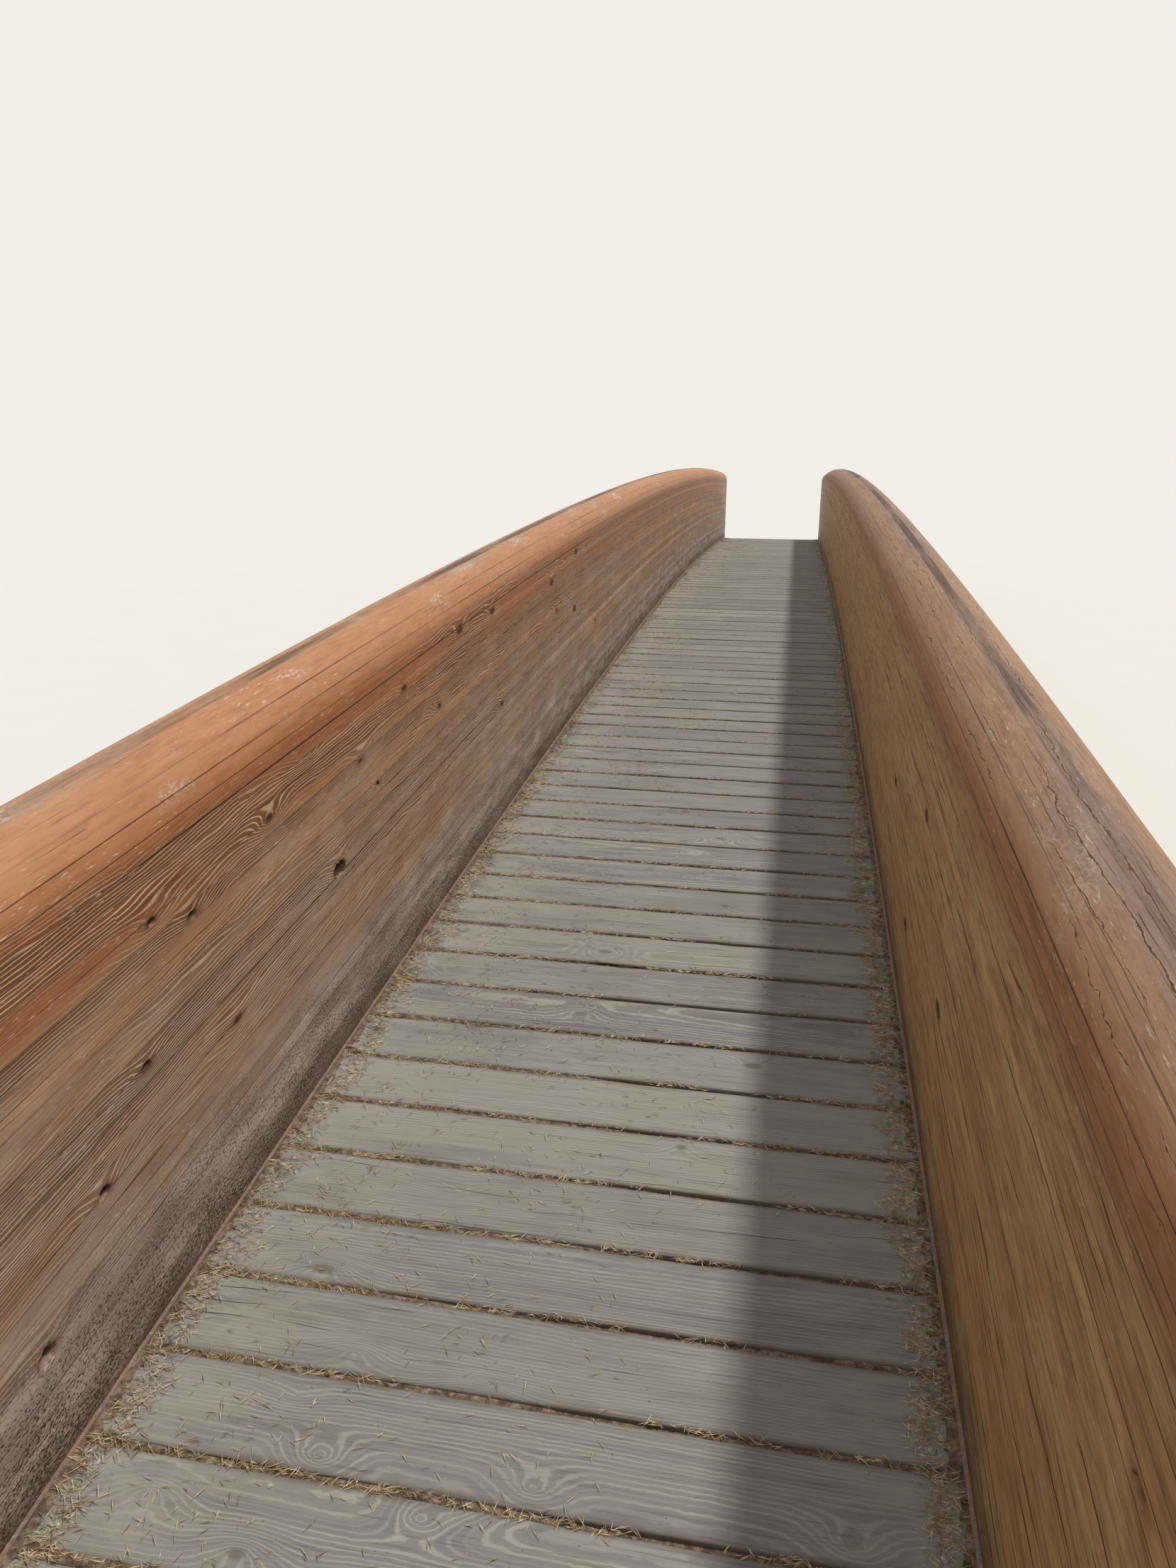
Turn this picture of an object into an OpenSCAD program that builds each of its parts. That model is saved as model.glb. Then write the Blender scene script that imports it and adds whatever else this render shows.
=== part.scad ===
// Arched timber footbridge. Two deep glued-laminated girders stand either side of a deck of
// transverse planks and are its parapets too. Millimetres, +Y along the bridge, +Z up, and the
// origin on the ground at the middle of the bridge.

/* [Deck] */
// Length of the deck, along the arc of its walking surface
deck_len = 20488; // [12000:8:26000]
// Radius of that arc
deck_r = 147600; // [90000:100:250000]
// Clear width between the inner faces of the girders
clear_w = 1540; // [1000:5:2400]
// Number of bays between cross beams, counted over the whole length
bays = 8; // [4:2:10]
// Width of a plank, along the bridge
plank_w = 184; // [140:1:235]
// Least open joint between planks, which are spread evenly over the deck
plank_gap = 13; // [6:1:20]
// Thickness of a plank
plank_t = 63; // [38:1:89]
// Gap between the end of a plank and the steel that stands beside it
plank_end_gap = 9; // [5:1:14]

/* [Girders] */
// Width of a girder, which is also the diameter of its half-round top
girder_w = 273; // [170:1:320]
// Height of the girder's top above the walking surface
parapet_h = 1067; // [900:1:1400]
// Depth of the girder below the walking surface
girder_below = 305; // [280:1:460]
// Chamfer that eases its two lower edges
girder_arris = 10; // [2:1:25]
// Distance that the girder's plumb end cut stands past the last plank
girder_end_past = 8; // [2:1:60]

/* [Ledger angles] */
// Thickness of the steel angle that carries the plank ends
ledger_t = 8; // [5:0.5:12]
// Width of the level leg that the planks lie on
ledger_seat_w = 76; // [60:1:120]
// Height that the upright leg shows above the walking surface
ledger_stand = 5; // [1:0.5:20]
// Expansion gap between two lengths of angle
ledger_joint = 6; // [2:1:12]

/* [Cross beams] */
// Depth of the rolled steel beam
beam_h = 152; // [100:1:180]
// Width of its flanges
beam_flange_w = 102; // [70:1:150]
// Thickness of its flanges
beam_flange_t = 9; // [6:0.5:16]
// Thickness of its web
beam_web_t = 7; // [5:0.5:12]
// Radius of the fillets between web and flanges
beam_root_r = 8; // [3:0.5:12]
// Thickness of the end plate that is bolted to the girder
beam_plate_t = 12; // [8:1:20]
// Width of the end plate, along the bridge
beam_plate_w = 160; // [150:1:220]
// Height of air between the ledger angle and the beam
beam_drop = 10; // [4:1:30]

/* [Bearing shoes] */
// Length of a bearing shoe, along the bridge
shoe_len = 300; // [200:1:420]
// Thickness of its base plate
shoe_base_t = 16; // [10:1:30]
// Thickness of its side plates
shoe_side_t = 10; // [6:0.5:16]
// Width of the base plate outside each side plate, for the anchor bolts
shoe_ledge = 62; // [45:1:90]
// Thickness of the gusset between the ledge and the side plate
gusset_t = 8; // [5:0.5:14]
// Height of the gusset
gusset_h = 110; // [60:1:130]
// Size of the clipped upper corners of a side plate
shoe_clip = 35; // [10:1:60]
// Running clearance between a side plate and the girder
shoe_clear = 1.5; // [0.5:0.5:4]
// Distance of the shoe behind the girder's end cut
shoe_setback = 20; // [5:1:60]

/* [Sills] */
// Height of the concrete sill
sill_h = 250; // [150:5:600]
// Distance that the sill stands out past the girder's end cut
sill_past = 40; // [0:1:120]
// Distance that the sill reaches inwards past the shoe
sill_front = 60; // [20:1:160]
// Distance that the sill reaches sideways past the base plates
sill_side = 26; // [10:1:80]
// Chamfer along the sill's upper edges
sill_chamfer = 20; // [5:1:35]

/* [Hidden] */
// Facets on one full turn of the bridge's arc, and on the half-round top
arc_fn = 3600;
top_fn = 64;
root_fn = 32;

// Clearance under a plank, so that the flat plank lies on the arched ledger and isn't sunk into it
plank_seat = 0.1;
// Clearance between the plank's corner and the ledger's root fillet
root_clear = 1;
// Clearance between the shoe's side plates and the ledger angle above them
shoe_head_room = 25;
// Length of level seat that is left beyond the shoe
seat_spare = 20;
// Free length between the shoe and the end plate of the first cross beam
beam_clear = 90;
// Overrun of a solid past the face that trims it
over = 50;

// Angles about the arc's centre: from the crest to the deck's end, and across a bay and a plank
end_angle = deck_len / 2 / deck_r * 180 / PI;
bay_angle = 2 * end_angle / bays;
// As many whole planks as a bay takes at their least joint, and a hair more for rounding
planks_per_bay = floor(deck_len / bays / (plank_w + plank_gap) + 0.001);
plank_angle = bay_angle / planks_per_bay;

// Heights above the walking surface, square to it. A height below it is negative.
girder_spring = parapet_h - girder_w / 2;
ledger_top = -plank_t - plank_seat;
ledger_base = ledger_top - ledger_t;
beam_top = ledger_base - beam_drop;
ledger_up = ledger_stand - ledger_base;
ledger_root_r = plank_end_gap - root_clear;

// Where the girder ends, and where its level seat starts
girder_end_y = deck_r * sin(end_angle) + girder_end_past;
shoe_far_y = girder_end_y - shoe_setback;
shoe_near_y = shoe_far_y - shoe_len;
seat_start_y = shoe_near_y - seat_spare;
seat_z = sill_h + shoe_base_t;
girder_base_r = deck_r - girder_below;
// Height of the walking surface at the crest, to the whole millimetre, and of the arc's centre
crest_z = round(seat_z + deck_r - sqrt(pow(girder_base_r, 2) - pow(seat_start_y, 2)));
arch_centre_z = crest_z - deck_r;

girder_x = clear_w / 2 + girder_w / 2;
plank_len = clear_w - 2 * (ledger_t + plank_end_gap);

// Height of the ledger's underside above the seat at the girder's end, which the shoe stays below
ledger_over_seat = arch_centre_z + (deck_r + ledger_base) * cos(end_angle) - seat_z;
shoe_side_h = ledger_over_seat - shoe_head_room;
shoe_outer_w = girder_w + 2 * (shoe_clear + shoe_side_t + shoe_ledge);

// Angles from the crest at which the cross beams stand: at each bay's end, but clear of the shoes
first_beam_y = shoe_near_y - beam_clear - beam_plate_w / 2;
first_beam_angle = asin(first_beam_y / (deck_r + beam_top));
function beam_angle(n) =
    n == 0 ? -first_beam_angle :
    n == bays ? first_beam_angle :
    -end_angle + n * bay_angle;

ledger_lengths = bays / 2;
SIDES = [["left", -1], ["right", 1]];
ENDS = [["near", -1], ["far", 1]];

// Turns a profile along the bridge's arc. Its first coordinate is the height above the walking
// surface, its second is across the bridge.
module along_arch(from, to) {
    translate([0, 0, arch_centre_z])
        rotate([0, -90, 0])
            rotate_extrude(angle = to - from, start = from, $fn = arc_fn)
                translate([deck_r, 0])
                    children();
}

// Stands its children square to the walking surface, at an angle from the crest and a height.
module at_arch(angle, height) {
    r = deck_r + height;
    translate([0, r * sin(angle), arch_centre_z + r * cos(angle)])
        rotate([-angle, 0, 0])
            children();
}

// Square-sided timber with eased lower edges and a half-round top.
module girder_profile() {
    half_w = girder_w / 2;
    polygon([
        [-girder_below, half_w - girder_arris],
        [-girder_below, -half_w + girder_arris],
        [-girder_below + girder_arris, -half_w],
        [girder_spring, -half_w],
        [girder_spring, half_w],
        [-girder_below + girder_arris, half_w]
    ]);
    translate([girder_spring, 0])
        circle(r = half_w, $fn = top_fn);
}

// Arched girder with plumb end cuts and a level seat cut over each bearing shoe.
module girder(side) {
    trim_angle = asin((girder_end_y + over) / girder_base_r);
    color("#A96B3F")
        intersection() {
            translate([side * girder_x, 0, 0])
                along_arch(-trim_angle, trim_angle)
                    girder_profile();
            translate([side * girder_x - girder_w, -girder_end_y, seat_z])
                cube([2 * girder_w, 2 * girder_end_y, crest_z + parapet_h]);
        }
}

// Angle section with its corner towards the girder, drawn for the left side of the bridge.
module ledger_profile() {
    leg_x = clear_w / 2;
    difference() {
        union() {
            translate([ledger_base, leg_x - ledger_t])
                square([ledger_up, ledger_t]);
            translate([ledger_base, leg_x - ledger_seat_w])
                square([ledger_t, ledger_seat_w]);
            translate([ledger_base, leg_x - ledger_t - ledger_root_r])
                square([ledger_t + ledger_root_r, ledger_t + ledger_root_r]);
        }
        translate([ledger_top + ledger_root_r, leg_x - ledger_t - ledger_root_r])
            circle(r = ledger_root_r, $fn = root_fn);
    }
}

// One length of ledger angle, numbered from the near end.
module ledger_angle(side, n) {
    length_angle = 2 * end_angle / ledger_lengths;
    joint_angle = ledger_joint / deck_r * 180 / PI;
    from = -end_angle + (n - 1) * length_angle + joint_angle / 2;
    color("#7A4632")
        mirror([side > 0 ? 1 : 0, 0, 0])
            along_arch(from, from + length_angle - joint_angle)
                ledger_profile();
}

module plank() {
    translate([-plank_len / 2, -plank_w / 2, -plank_t])
        cube([plank_len, plank_w, plank_t]);
}

// The planks of one bay, each a solid of its own.
module deck_bay(n) {
    color("#9C958A")
        for (i = [0:planks_per_bay - 1])
            at_arch(-end_angle + (n - 1) * bay_angle + (i + 0.5) * plank_angle, 0)
                plank();
}

// I section with root fillets, drawn across the bridge's length with its top at zero.
module beam_profile() {
    difference() {
        translate([-beam_flange_w / 2, -beam_h])
            square([beam_flange_w, beam_h]);
        for (s = [-1, 1])
            beam_side_cut(s);
    }
}

// The room between the flanges on one side of the web, with rounded inner corners.
module beam_side_cut(s) {
    cut_h = beam_h - 2 * beam_flange_t;
    inner_x = beam_web_t / 2;
    outer_x = beam_flange_w / 2 + over;
    mirror([s > 0 ? 1 : 0, 0])
        translate([0, -beam_flange_t - cut_h])
            difference() {
                translate([-outer_x, 0])
                    square([outer_x - inner_x, cut_h]);
                for (top = [0, 1])
                    translate([0, top * cut_h])
                        mirror([0, top])
                            root_fillet(-inner_x);
            }
}

// What a root fillet leaves standing in the corner at x.
module root_fillet(x) {
    translate([x - beam_root_r, 0])
        difference() {
            square([beam_root_r + beam_web_t / 2, beam_root_r]);
            translate([0, beam_root_r])
                circle(r = beam_root_r, $fn = root_fn);
        }
}

// Rolled steel beam between the girders, with an end plate against each of them.
module cross_beam(n) {
    color("#6E4A3A")
        at_arch(beam_angle(n), beam_top) {
            rotate([90, 0, 90])
                translate([0, 0, -clear_w / 2 + beam_plate_t / 2])
                    linear_extrude(clear_w - beam_plate_t)
                        beam_profile();
            for (s = [-1, 1])
                translate([s * (clear_w - beam_plate_t) / 2 - beam_plate_t / 2, -beam_plate_w / 2, -beam_h])
                    cube([beam_plate_t, beam_plate_w, beam_h]);
        }
}

// Upright plate of a shoe with clipped upper corners, standing on the base plate.
module shoe_side_plate() {
    rotate([90, 0, 90])
        linear_extrude(shoe_side_t)
            polygon([
                [0, 0],
                [shoe_len, 0],
                [shoe_len, shoe_side_h - shoe_clip],
                [shoe_len - shoe_clip, shoe_side_h],
                [shoe_clip, shoe_side_h],
                [0, shoe_side_h - shoe_clip]
            ]);
}

// Triangular stiffener on the ledge, between the two anchor bolts.
module shoe_gusset() {
    rotate([90, 0, 0])
        translate([0, 0, -gusset_t / 2])
            linear_extrude(gusset_t)
                polygon([[0, 0], [shoe_ledge, 0], [0, gusset_h]]);
}

// Welded steel shoe that the end of a girder stands in, drawn around the girder's centre line.
module shoe() {
    side_x = girder_w / 2 + shoe_clear;
    translate([-shoe_outer_w / 2, 0, -shoe_base_t])
        cube([shoe_outer_w, shoe_len, shoe_base_t]);
    for (s = [0, 1])
        mirror([s, 0, 0]) {
            translate([side_x, 0, 0])
                shoe_side_plate();
            translate([side_x + shoe_side_t, shoe_len / 2, 0])
                shoe_gusset();
        }
}

module bearing_shoe(side, end) {
    color("#5F5A55")
        mirror([0, end < 0 ? 1 : 0, 0])
            translate([side * girder_x, shoe_near_y, seat_z])
                shoe();
}

// Concrete sill across both girders, with its upper edges chamfered.
module sill(end) {
    half_w = girder_x + shoe_outer_w / 2 + sill_side;
    depth = girder_end_y + sill_past - (shoe_near_y - sill_front);
    color("#A8A39A")
        mirror([0, end < 0 ? 1 : 0, 0])
            translate([0, girder_end_y + sill_past - depth, 0])
                intersection() {
                    rotate([90, 0, 90])
                        translate([0, 0, -half_w])
                            linear_extrude(2 * half_w)
                                chamfered(depth, 0);
                    translate([0, depth, 0])
                        rotate([90, 0, 0])
                            linear_extrude(depth)
                                chamfered(2 * half_w, -half_w);
                }
}

// Upright rectangle from x, with its two upper corners chamfered.
module chamfered(w, x) {
    polygon([
        [x, 0],
        [x + w, 0],
        [x + w, sill_h - sill_chamfer],
        [x + w - sill_chamfer, sill_h],
        [x + sill_chamfer, sill_h],
        [x, sill_h - sill_chamfer]
    ]);
}

for (s = SIDES) {
    girder(s[1]);
    for (n = [1:ledger_lengths])
        ledger_angle(s[1], n);
    for (e = ENDS)
        bearing_shoe(s[1], e[1]);
}
for (n = [1:bays])
    deck_bay(n);
for (n = [0:bays])
    cross_beam(n);
for (e = ENDS)
    sill(e[1]);
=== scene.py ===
"""Dresses the arched timber footbridge: glued-laminated girders, weathered deck planks, steelwork,
fasteners, the litter in its joints, and the stage it stands on."""

import math
import random

import bmesh
import bpy
from bpy.props import (
    FloatProperty,
    FloatVectorProperty,
    IntProperty,
    PointerProperty,
    StringProperty,
)
from mathutils import Matrix, Vector, noise


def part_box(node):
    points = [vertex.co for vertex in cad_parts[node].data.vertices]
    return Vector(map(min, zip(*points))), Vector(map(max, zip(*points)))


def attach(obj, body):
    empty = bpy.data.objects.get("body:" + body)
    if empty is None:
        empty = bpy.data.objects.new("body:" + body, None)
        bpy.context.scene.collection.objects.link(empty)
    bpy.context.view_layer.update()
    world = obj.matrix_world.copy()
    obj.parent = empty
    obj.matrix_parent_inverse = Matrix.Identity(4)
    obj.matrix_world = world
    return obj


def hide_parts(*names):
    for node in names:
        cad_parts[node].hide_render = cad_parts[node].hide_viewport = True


bl_info = {
    "name": "Arched Timber Footbridge",
    "version": (1, 0, 0),
    "blender": (4, 5, 0),
    "location": "View3D > Sidebar > Footbridge",
    "description": "Details and finishes for a glued-laminated footbridge",
    "category": "Object",
}

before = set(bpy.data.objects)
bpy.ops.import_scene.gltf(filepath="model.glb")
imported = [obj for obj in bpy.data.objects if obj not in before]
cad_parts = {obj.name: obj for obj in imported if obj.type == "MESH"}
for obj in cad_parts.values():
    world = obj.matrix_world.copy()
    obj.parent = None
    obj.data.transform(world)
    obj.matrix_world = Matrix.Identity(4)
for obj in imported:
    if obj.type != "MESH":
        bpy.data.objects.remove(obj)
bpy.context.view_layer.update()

# The walking surface is an arc of this radius, with its crest at this height. Sizes are in metres,
# X runs across the bridge, Y along it and Z up, and arc lengths count from the crest
ARC_RADIUS = 147.6
CREST_HEIGHT = 0.904
DECK_LENGTH = 20.488
ARC_CENTRE = Vector((0, 0, CREST_HEIGHT - ARC_RADIUS))
BAYS = 8
PLANKS_PER_BAY = 13
PLANKS = BAYS * PLANKS_PER_BAY
PLANK_PITCH = DECK_LENGTH / PLANKS

# Faces of the girders, which the frame already places, and how far they reach below and above the deck
GIRDER_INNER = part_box("girder_right")[0].x
GIRDER_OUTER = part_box("girder_right")[1].x
GIRDER_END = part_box("girder_right")[1].y
GIRDER_BELOW = 0.305
GIRDER_ABOVE = 1.067
# Base plate of a shoe, level seat of the girder on it, and top of the cross beams below the deck
SHOE_BASE = 0.016
GIRDER_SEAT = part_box("sill_near")[1].z + SHOE_BASE
BEAM_TOP = -0.0811

# Timber: thickness and number of the laminations, length of a board in one, and the deck's planks
LAMINATION = 0.0381
LAMINATIONS = 36
BOARD_LENGTH = 4.2
PLANK_WIDTH = 0.184
# Distance between the patterns of one plank and the next
PLANK_APART = 10.0

# Bolts: washer radius and thickness, nut radius and height, bolt radius, and its end past the nut
PLANK_NUT = (0.014, 0.002, 0.0098, 0.008, 0.005, 0.006)
PLATE_HEAD = (0.015, 0.003, 0.0138, 0.010, 0.0, 0.0)
GIRDER_NUT = (0.031, 0.006, 0.0138, 0.013, 0.008, 0.009)
SHOE_NUT = (0.022, 0.004, 0.0173, 0.013, 0.010, 0.012)
ANCHOR_NUT = (0.022, 0.004, 0.0173, 0.016, 0.010, 0.026)

# Where the bolts sit: rows from the middle of a plank, a beam or a shoe, and other distances
PLANK_BOLT_ROW = 0.055
PLANK_BOLT_INSET = 0.058
PLANK_BOLT_HEAD = -0.0012
LEDGER_UNDERSIDE = -0.0712
BEAM_BOLT_ROW = 0.0655
BEAM_BOLT_DROPS = (-0.036, -0.116)
END_PLATE = 0.012
SHOE_PLATE = 0.0115
SHOE_BOLT_ROW = 0.075
SHOE_BOLT_RISE = 0.105
ANCHOR_OUT = 0.031
SHOE_WELD = 0.290

# The camera stands near one end: planks and joints up to these numbers are made finer
NEAR_PLANKS = 26
NEAR_JOINTS = 30
# Needles thin out between these two arc lengths, and their near and far pieces meet at the third.
# They fill a joint this far out from the middle of the deck
NEEDLES_THIN = (-5.5, 2.0)
NEEDLES_SPLIT = -5.2
JOINT_REACH = 0.74
LOOSE_TUFTS = 820

SIDES = {"left": -1, "right": 1}
SEED = 41


# Places on the bridge

def arc_frame(along, above=0.0, across=0.0):
    """The frame that stands square to the walking surface at an arc length from the crest."""
    angle = along / ARC_RADIUS
    turn = Matrix.Rotation(-angle, 4, "X")
    place = ARC_CENTRE + turn @ Vector((across, 0, ARC_RADIUS + above))
    return Matrix.Translation(place) @ turn


def on_arc(point):
    """Arc length from the crest and height above the walking surface."""
    out = point - ARC_CENTRE
    return math.atan2(out.y, out.z) * ARC_RADIUS, math.hypot(out.y, out.z) - ARC_RADIUS


def smooth(low, high, value):
    """Eased step from 0 at the low value to 1 at the high one."""
    t = min(max((value - low) / (high - low), 0.0), 1.0)
    return t * t * (3 - 2 * t)


# Meshes

def finish_piece(name, bm, material, replaced=(), angle=0.6):
    """Turns a bmesh into a piece that rides on the bridge."""
    mesh = bpy.data.meshes.new(name)
    bm.to_mesh(mesh)
    bm.free()
    mesh.materials.append(material)
    mesh.shade_smooth()
    mesh.set_sharp_from_angle(angle=angle)
    piece = bpy.data.objects.new(name, mesh)
    bpy.context.scene.collection.objects.link(piece)
    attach(piece, "root")
    if replaced:
        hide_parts(*replaced)
    return piece


def turned(outline, segments):
    """A closed shape turned about Z from (radius, height) pairs that start and end on the axis."""
    bm = bmesh.new()
    verts = [bm.verts.new((r, 0, z)) for r, z in outline]
    edges = [bm.edges.new(pair) for pair in zip(verts, verts[1:])]
    bmesh.ops.spin(
        bm, geom=verts + edges, cent=(0, 0, 0), axis=(0, 0, 1),
        angle=2 * math.pi, steps=segments, use_merge=True,
    )
    bmesh.ops.remove_doubles(bm, verts=bm.verts, dist=1e-6)
    bmesh.ops.recalc_face_normals(bm, faces=bm.faces)
    return bm


def joint_at(number):
    """Arc length of the joint before a plank, counted from the near end, or of a share of a plank on."""
    return -DECK_LENGTH / 2 + number * PLANK_PITCH


def slice_at(bm, point, normal, clear=False):
    """Cuts a bmesh through by a plane, and may clear what lies beyond it."""
    bmesh.ops.bisect_plane(
        bm, geom=bm.verts[:] + bm.edges[:] + bm.faces[:], dist=1e-6,
        plane_co=point, plane_no=normal, clear_outer=clear,
    )


def as_mesh(bm):
    """Turns a bmesh into a mesh that is copied from."""
    mesh = bpy.data.meshes.new("pattern")
    bm.to_mesh(mesh)
    bm.free()
    return mesh


def place_copy(target, mesh, place):
    """Adds a copy of a mesh to the target bmesh."""
    copy = mesh.copy()
    copy.transform(place)
    target.from_mesh(copy)
    bpy.data.meshes.remove(copy)


def place_copies(target, source, frames):
    """Adds a copy of the source bmesh to the target for each frame, and frees the source."""
    mesh = as_mesh(source)
    for place in frames:
        place_copy(target, mesh, place)
    bpy.data.meshes.remove(mesh)


def dome_head(radius, height):
    """Domed head of a carriage bolt, standing on z = 0."""
    return turned(
        [(0, height), (radius * 0.55, height * 0.86), (radius * 0.9, height * 0.45),
         (radius, 0.0), (radius * 0.98, -0.001), (0, -0.001)],
        12,
    )


def washer_and_nut(washer_r, washer_t, nut_r, nut_h, stud_r, stud_past):
    """Round washer, chamfered hexagon nut and the end of its bolt, standing on z = 0."""
    face = washer_t + nut_h
    top = face + stud_past
    middle = washer_t + nut_h * 0.5
    bevel = washer_t + nut_h * 0.86
    washer = [
        (0, washer_t), (washer_r * 0.93, washer_t), (washer_r, washer_t * 0.6), (washer_r, 0), (0, 0),
    ]
    nut = [(0, face), (nut_r * 0.86, face), (nut_r, bevel), (nut_r, washer_t), (0, washer_t)]
    stud = [(0, top), (stud_r * 0.8, top), (stud_r, top - stud_r * 0.2), (stud_r, middle), (0, middle)]
    shapes = [(washer, 20), (nut, 6), (stud, 10)]
    bm = bmesh.new()
    for outline, segments in shapes if stud_past else shapes[:2]:
        place_copies(bm, turned(outline, segments), [Matrix.Identity(4)])
    return bm


# Materials

# What a Map Range needs to ease from one level to the other
SOFT = {"interpolation_type": "SMOOTHSTEP"}


def srgb(code):
    """Linear colour of an sRGB hex value such as #A9683F."""
    parts = [int(code[i:i + 2], 16) / 255 for i in (1, 3, 5)]
    return tuple(c / 12.92 if c <= 0.04045 else ((c + 0.055) / 1.055) ** 2.4 for c in parts) + (1.0,)


def new_material(name):
    material = bpy.data.materials.new(name)
    material.use_nodes = True
    material.node_tree.nodes.clear()
    return material, material.node_tree


def add(tree, kind, inputs=(), **settings):
    """Adds a shader node with its settings, and gives its inputs, in order or by name or number, a
    value or a link each."""
    node = tree.nodes.new("ShaderNode" + kind)
    for key, value in settings.items():
        setattr(node, key, value)
    for key, value in inputs.items() if isinstance(inputs, dict) else enumerate(inputs):
        if isinstance(value, bpy.types.Node):
            value = value.outputs[0]
        if isinstance(value, bpy.types.NodeSocket):
            tree.links.new(value, node.inputs[key])
        else:
            node.inputs[key].default_value = value
    return node


def ramp_stops(node, stops):
    """Sets a colour ramp's stops from (position, linear colour or grey level) pairs."""
    ramp = node.color_ramp
    while len(ramp.elements) < len(stops):
        ramp.elements.new(1.0)
    for element, (position, value) in zip(ramp.elements, stops):
        element.position = position
        element.color = value if isinstance(value, tuple) else (value, value, value, 1.0)
    return node


def coated(tree, base, coats):
    """Lays coats of colour over a base, one after the other: each has its share of the face, its
    colour and its blend."""
    for share, colour, blend in coats:
        base = add(
            tree, "Mix", {"Factor": share, 6: base, 7: colour}, data_type="RGBA", blend_type=blend
        ).outputs[2]
    return base


def surface(tree, base, roughness, height, metallic=0.0, depth=0.001, specular=0.5):
    """Principled surface with a bump whose height counts in units of depth."""
    bump = add(tree, "Bump", {"Strength": 1.0, "Distance": depth, "Height": height})
    shader = add(tree, "BsdfPrincipled", {
        "Base Color": base, "Roughness": roughness, "Metallic": metallic, "Normal": bump,
        "Specular IOR Level": specular,
    })
    add(tree, "OutputMaterial", {"Surface": shader})


def stretched_noise(tree, vector, scale, detail=3.0, roughness=0.55, shift=(0, 0, 0)):
    """Noise whose grain along each axis is one over the scale, in metres."""
    mapped = add(tree, "Mapping", {"Vector": vector, "Scale": scale, "Location": shift})
    return add(tree, "TexNoise", {
        "Vector": mapped, "Scale": 1.0, "Detail": detail, "Roughness": roughness,
    })


def crack_lines(tree, vector, across, spacing, width, run, share, seed, jag=0.0):
    """Cracks that follow the grain: one line in each strip of the spacing, open by up to the width on
    each side, in lengths of about the run that cover a share of it and taper shut at their ends. The
    jag is how far they zigzag, as a share of the spacing."""
    along = add(tree, "SeparateXYZ", (vector,)).outputs[0]
    wander = stretched_noise(tree, vector, (1.1, 3, 3), 4.0, 0.6, (seed, seed * 2, 0))
    strips = add(tree, "Math", (wander, 2.6, seed), operation="MULTIPLY_ADD")
    if jag:
        zigzag = stretched_noise(tree, vector, (17, 42, 42), 3.0, 0.65, (0, seed, seed))
        strips = add(tree, "Math", (zigzag, jag, strips), operation="MULTIPLY_ADD")
    strips = add(tree, "Math", (across, 1 / spacing, strips), operation="MULTIPLY_ADD")
    strip = add(tree, "Math", (strips,), operation="FLOOR")
    inside = add(tree, "Math", (strips,), operation="FRACT")
    middle = add(tree, "Math", (inside, 0.5), operation="SUBTRACT")
    off = add(tree, "Math", (middle,), operation="ABSOLUTE")
    own = add(tree, "CombineXYZ", (
        add(tree, "Math", (along, run), operation="DIVIDE"),
        add(tree, "Math", (strip, 5.17), operation="MULTIPLY"),
        seed,
    ))
    lengths = add(tree, "TexNoise", {"Vector": own, "Scale": 1.0, "Detail": 2.0, "Roughness": 0.6})
    open_by = add(tree, "MapRange", (
        lengths, 0.66 - share * 0.3, 0.86 - share * 0.3, 0.0, width / spacing,
    ), **SOFT)
    left = add(tree, "Math", (open_by, off), operation="SUBTRACT")
    return add(tree, "MapRange", (left, 0.0, 0.3 * width / spacing), **SOFT)


def ring_lines(tree, field, spacing, start=0.50):
    """Late-wood lines of a growth-ring field in metres: a slow rise and a sharp fall in each ring."""
    turns = add(tree, "Math", (field, spacing), operation="DIVIDE")
    phase = add(tree, "Math", (turns,), operation="FRACT")
    rise = add(tree, "MapRange", (phase, start, start + 0.24), **SOFT)
    fall = add(tree, "MapRange", (phase, 1.0, 0.86), **SOFT)
    return add(tree, "Math", (rise, fall), operation="MULTIPLY")


def knot_distances(tree, vector, squeeze, knots):
    """How far each knot is, with lengths along the grain squeezed, which draws its swirl out."""
    squeezed = add(tree, "Mapping", {"Vector": vector, "Scale": (squeeze, 1, 0)})
    distances = []
    for along, across, *rest in knots:
        far = add(tree, "VectorMath", (squeezed, (along * squeeze, across, 0)), operation="DISTANCE")
        distances.append(far.outputs["Value"])
    return distances


def knot_field(tree, distances, strengths, reach):
    """The highest of the cones that stand on the knots, each as high as its strength."""
    high = 0.0
    for far, strength in zip(distances, strengths):
        cone = add(tree, "Math", (far, -strength / reach, strength), operation="MULTIPLY_ADD")
        high = add(tree, "Math", (cone, high), operation="MAXIMUM")
    return high


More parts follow.
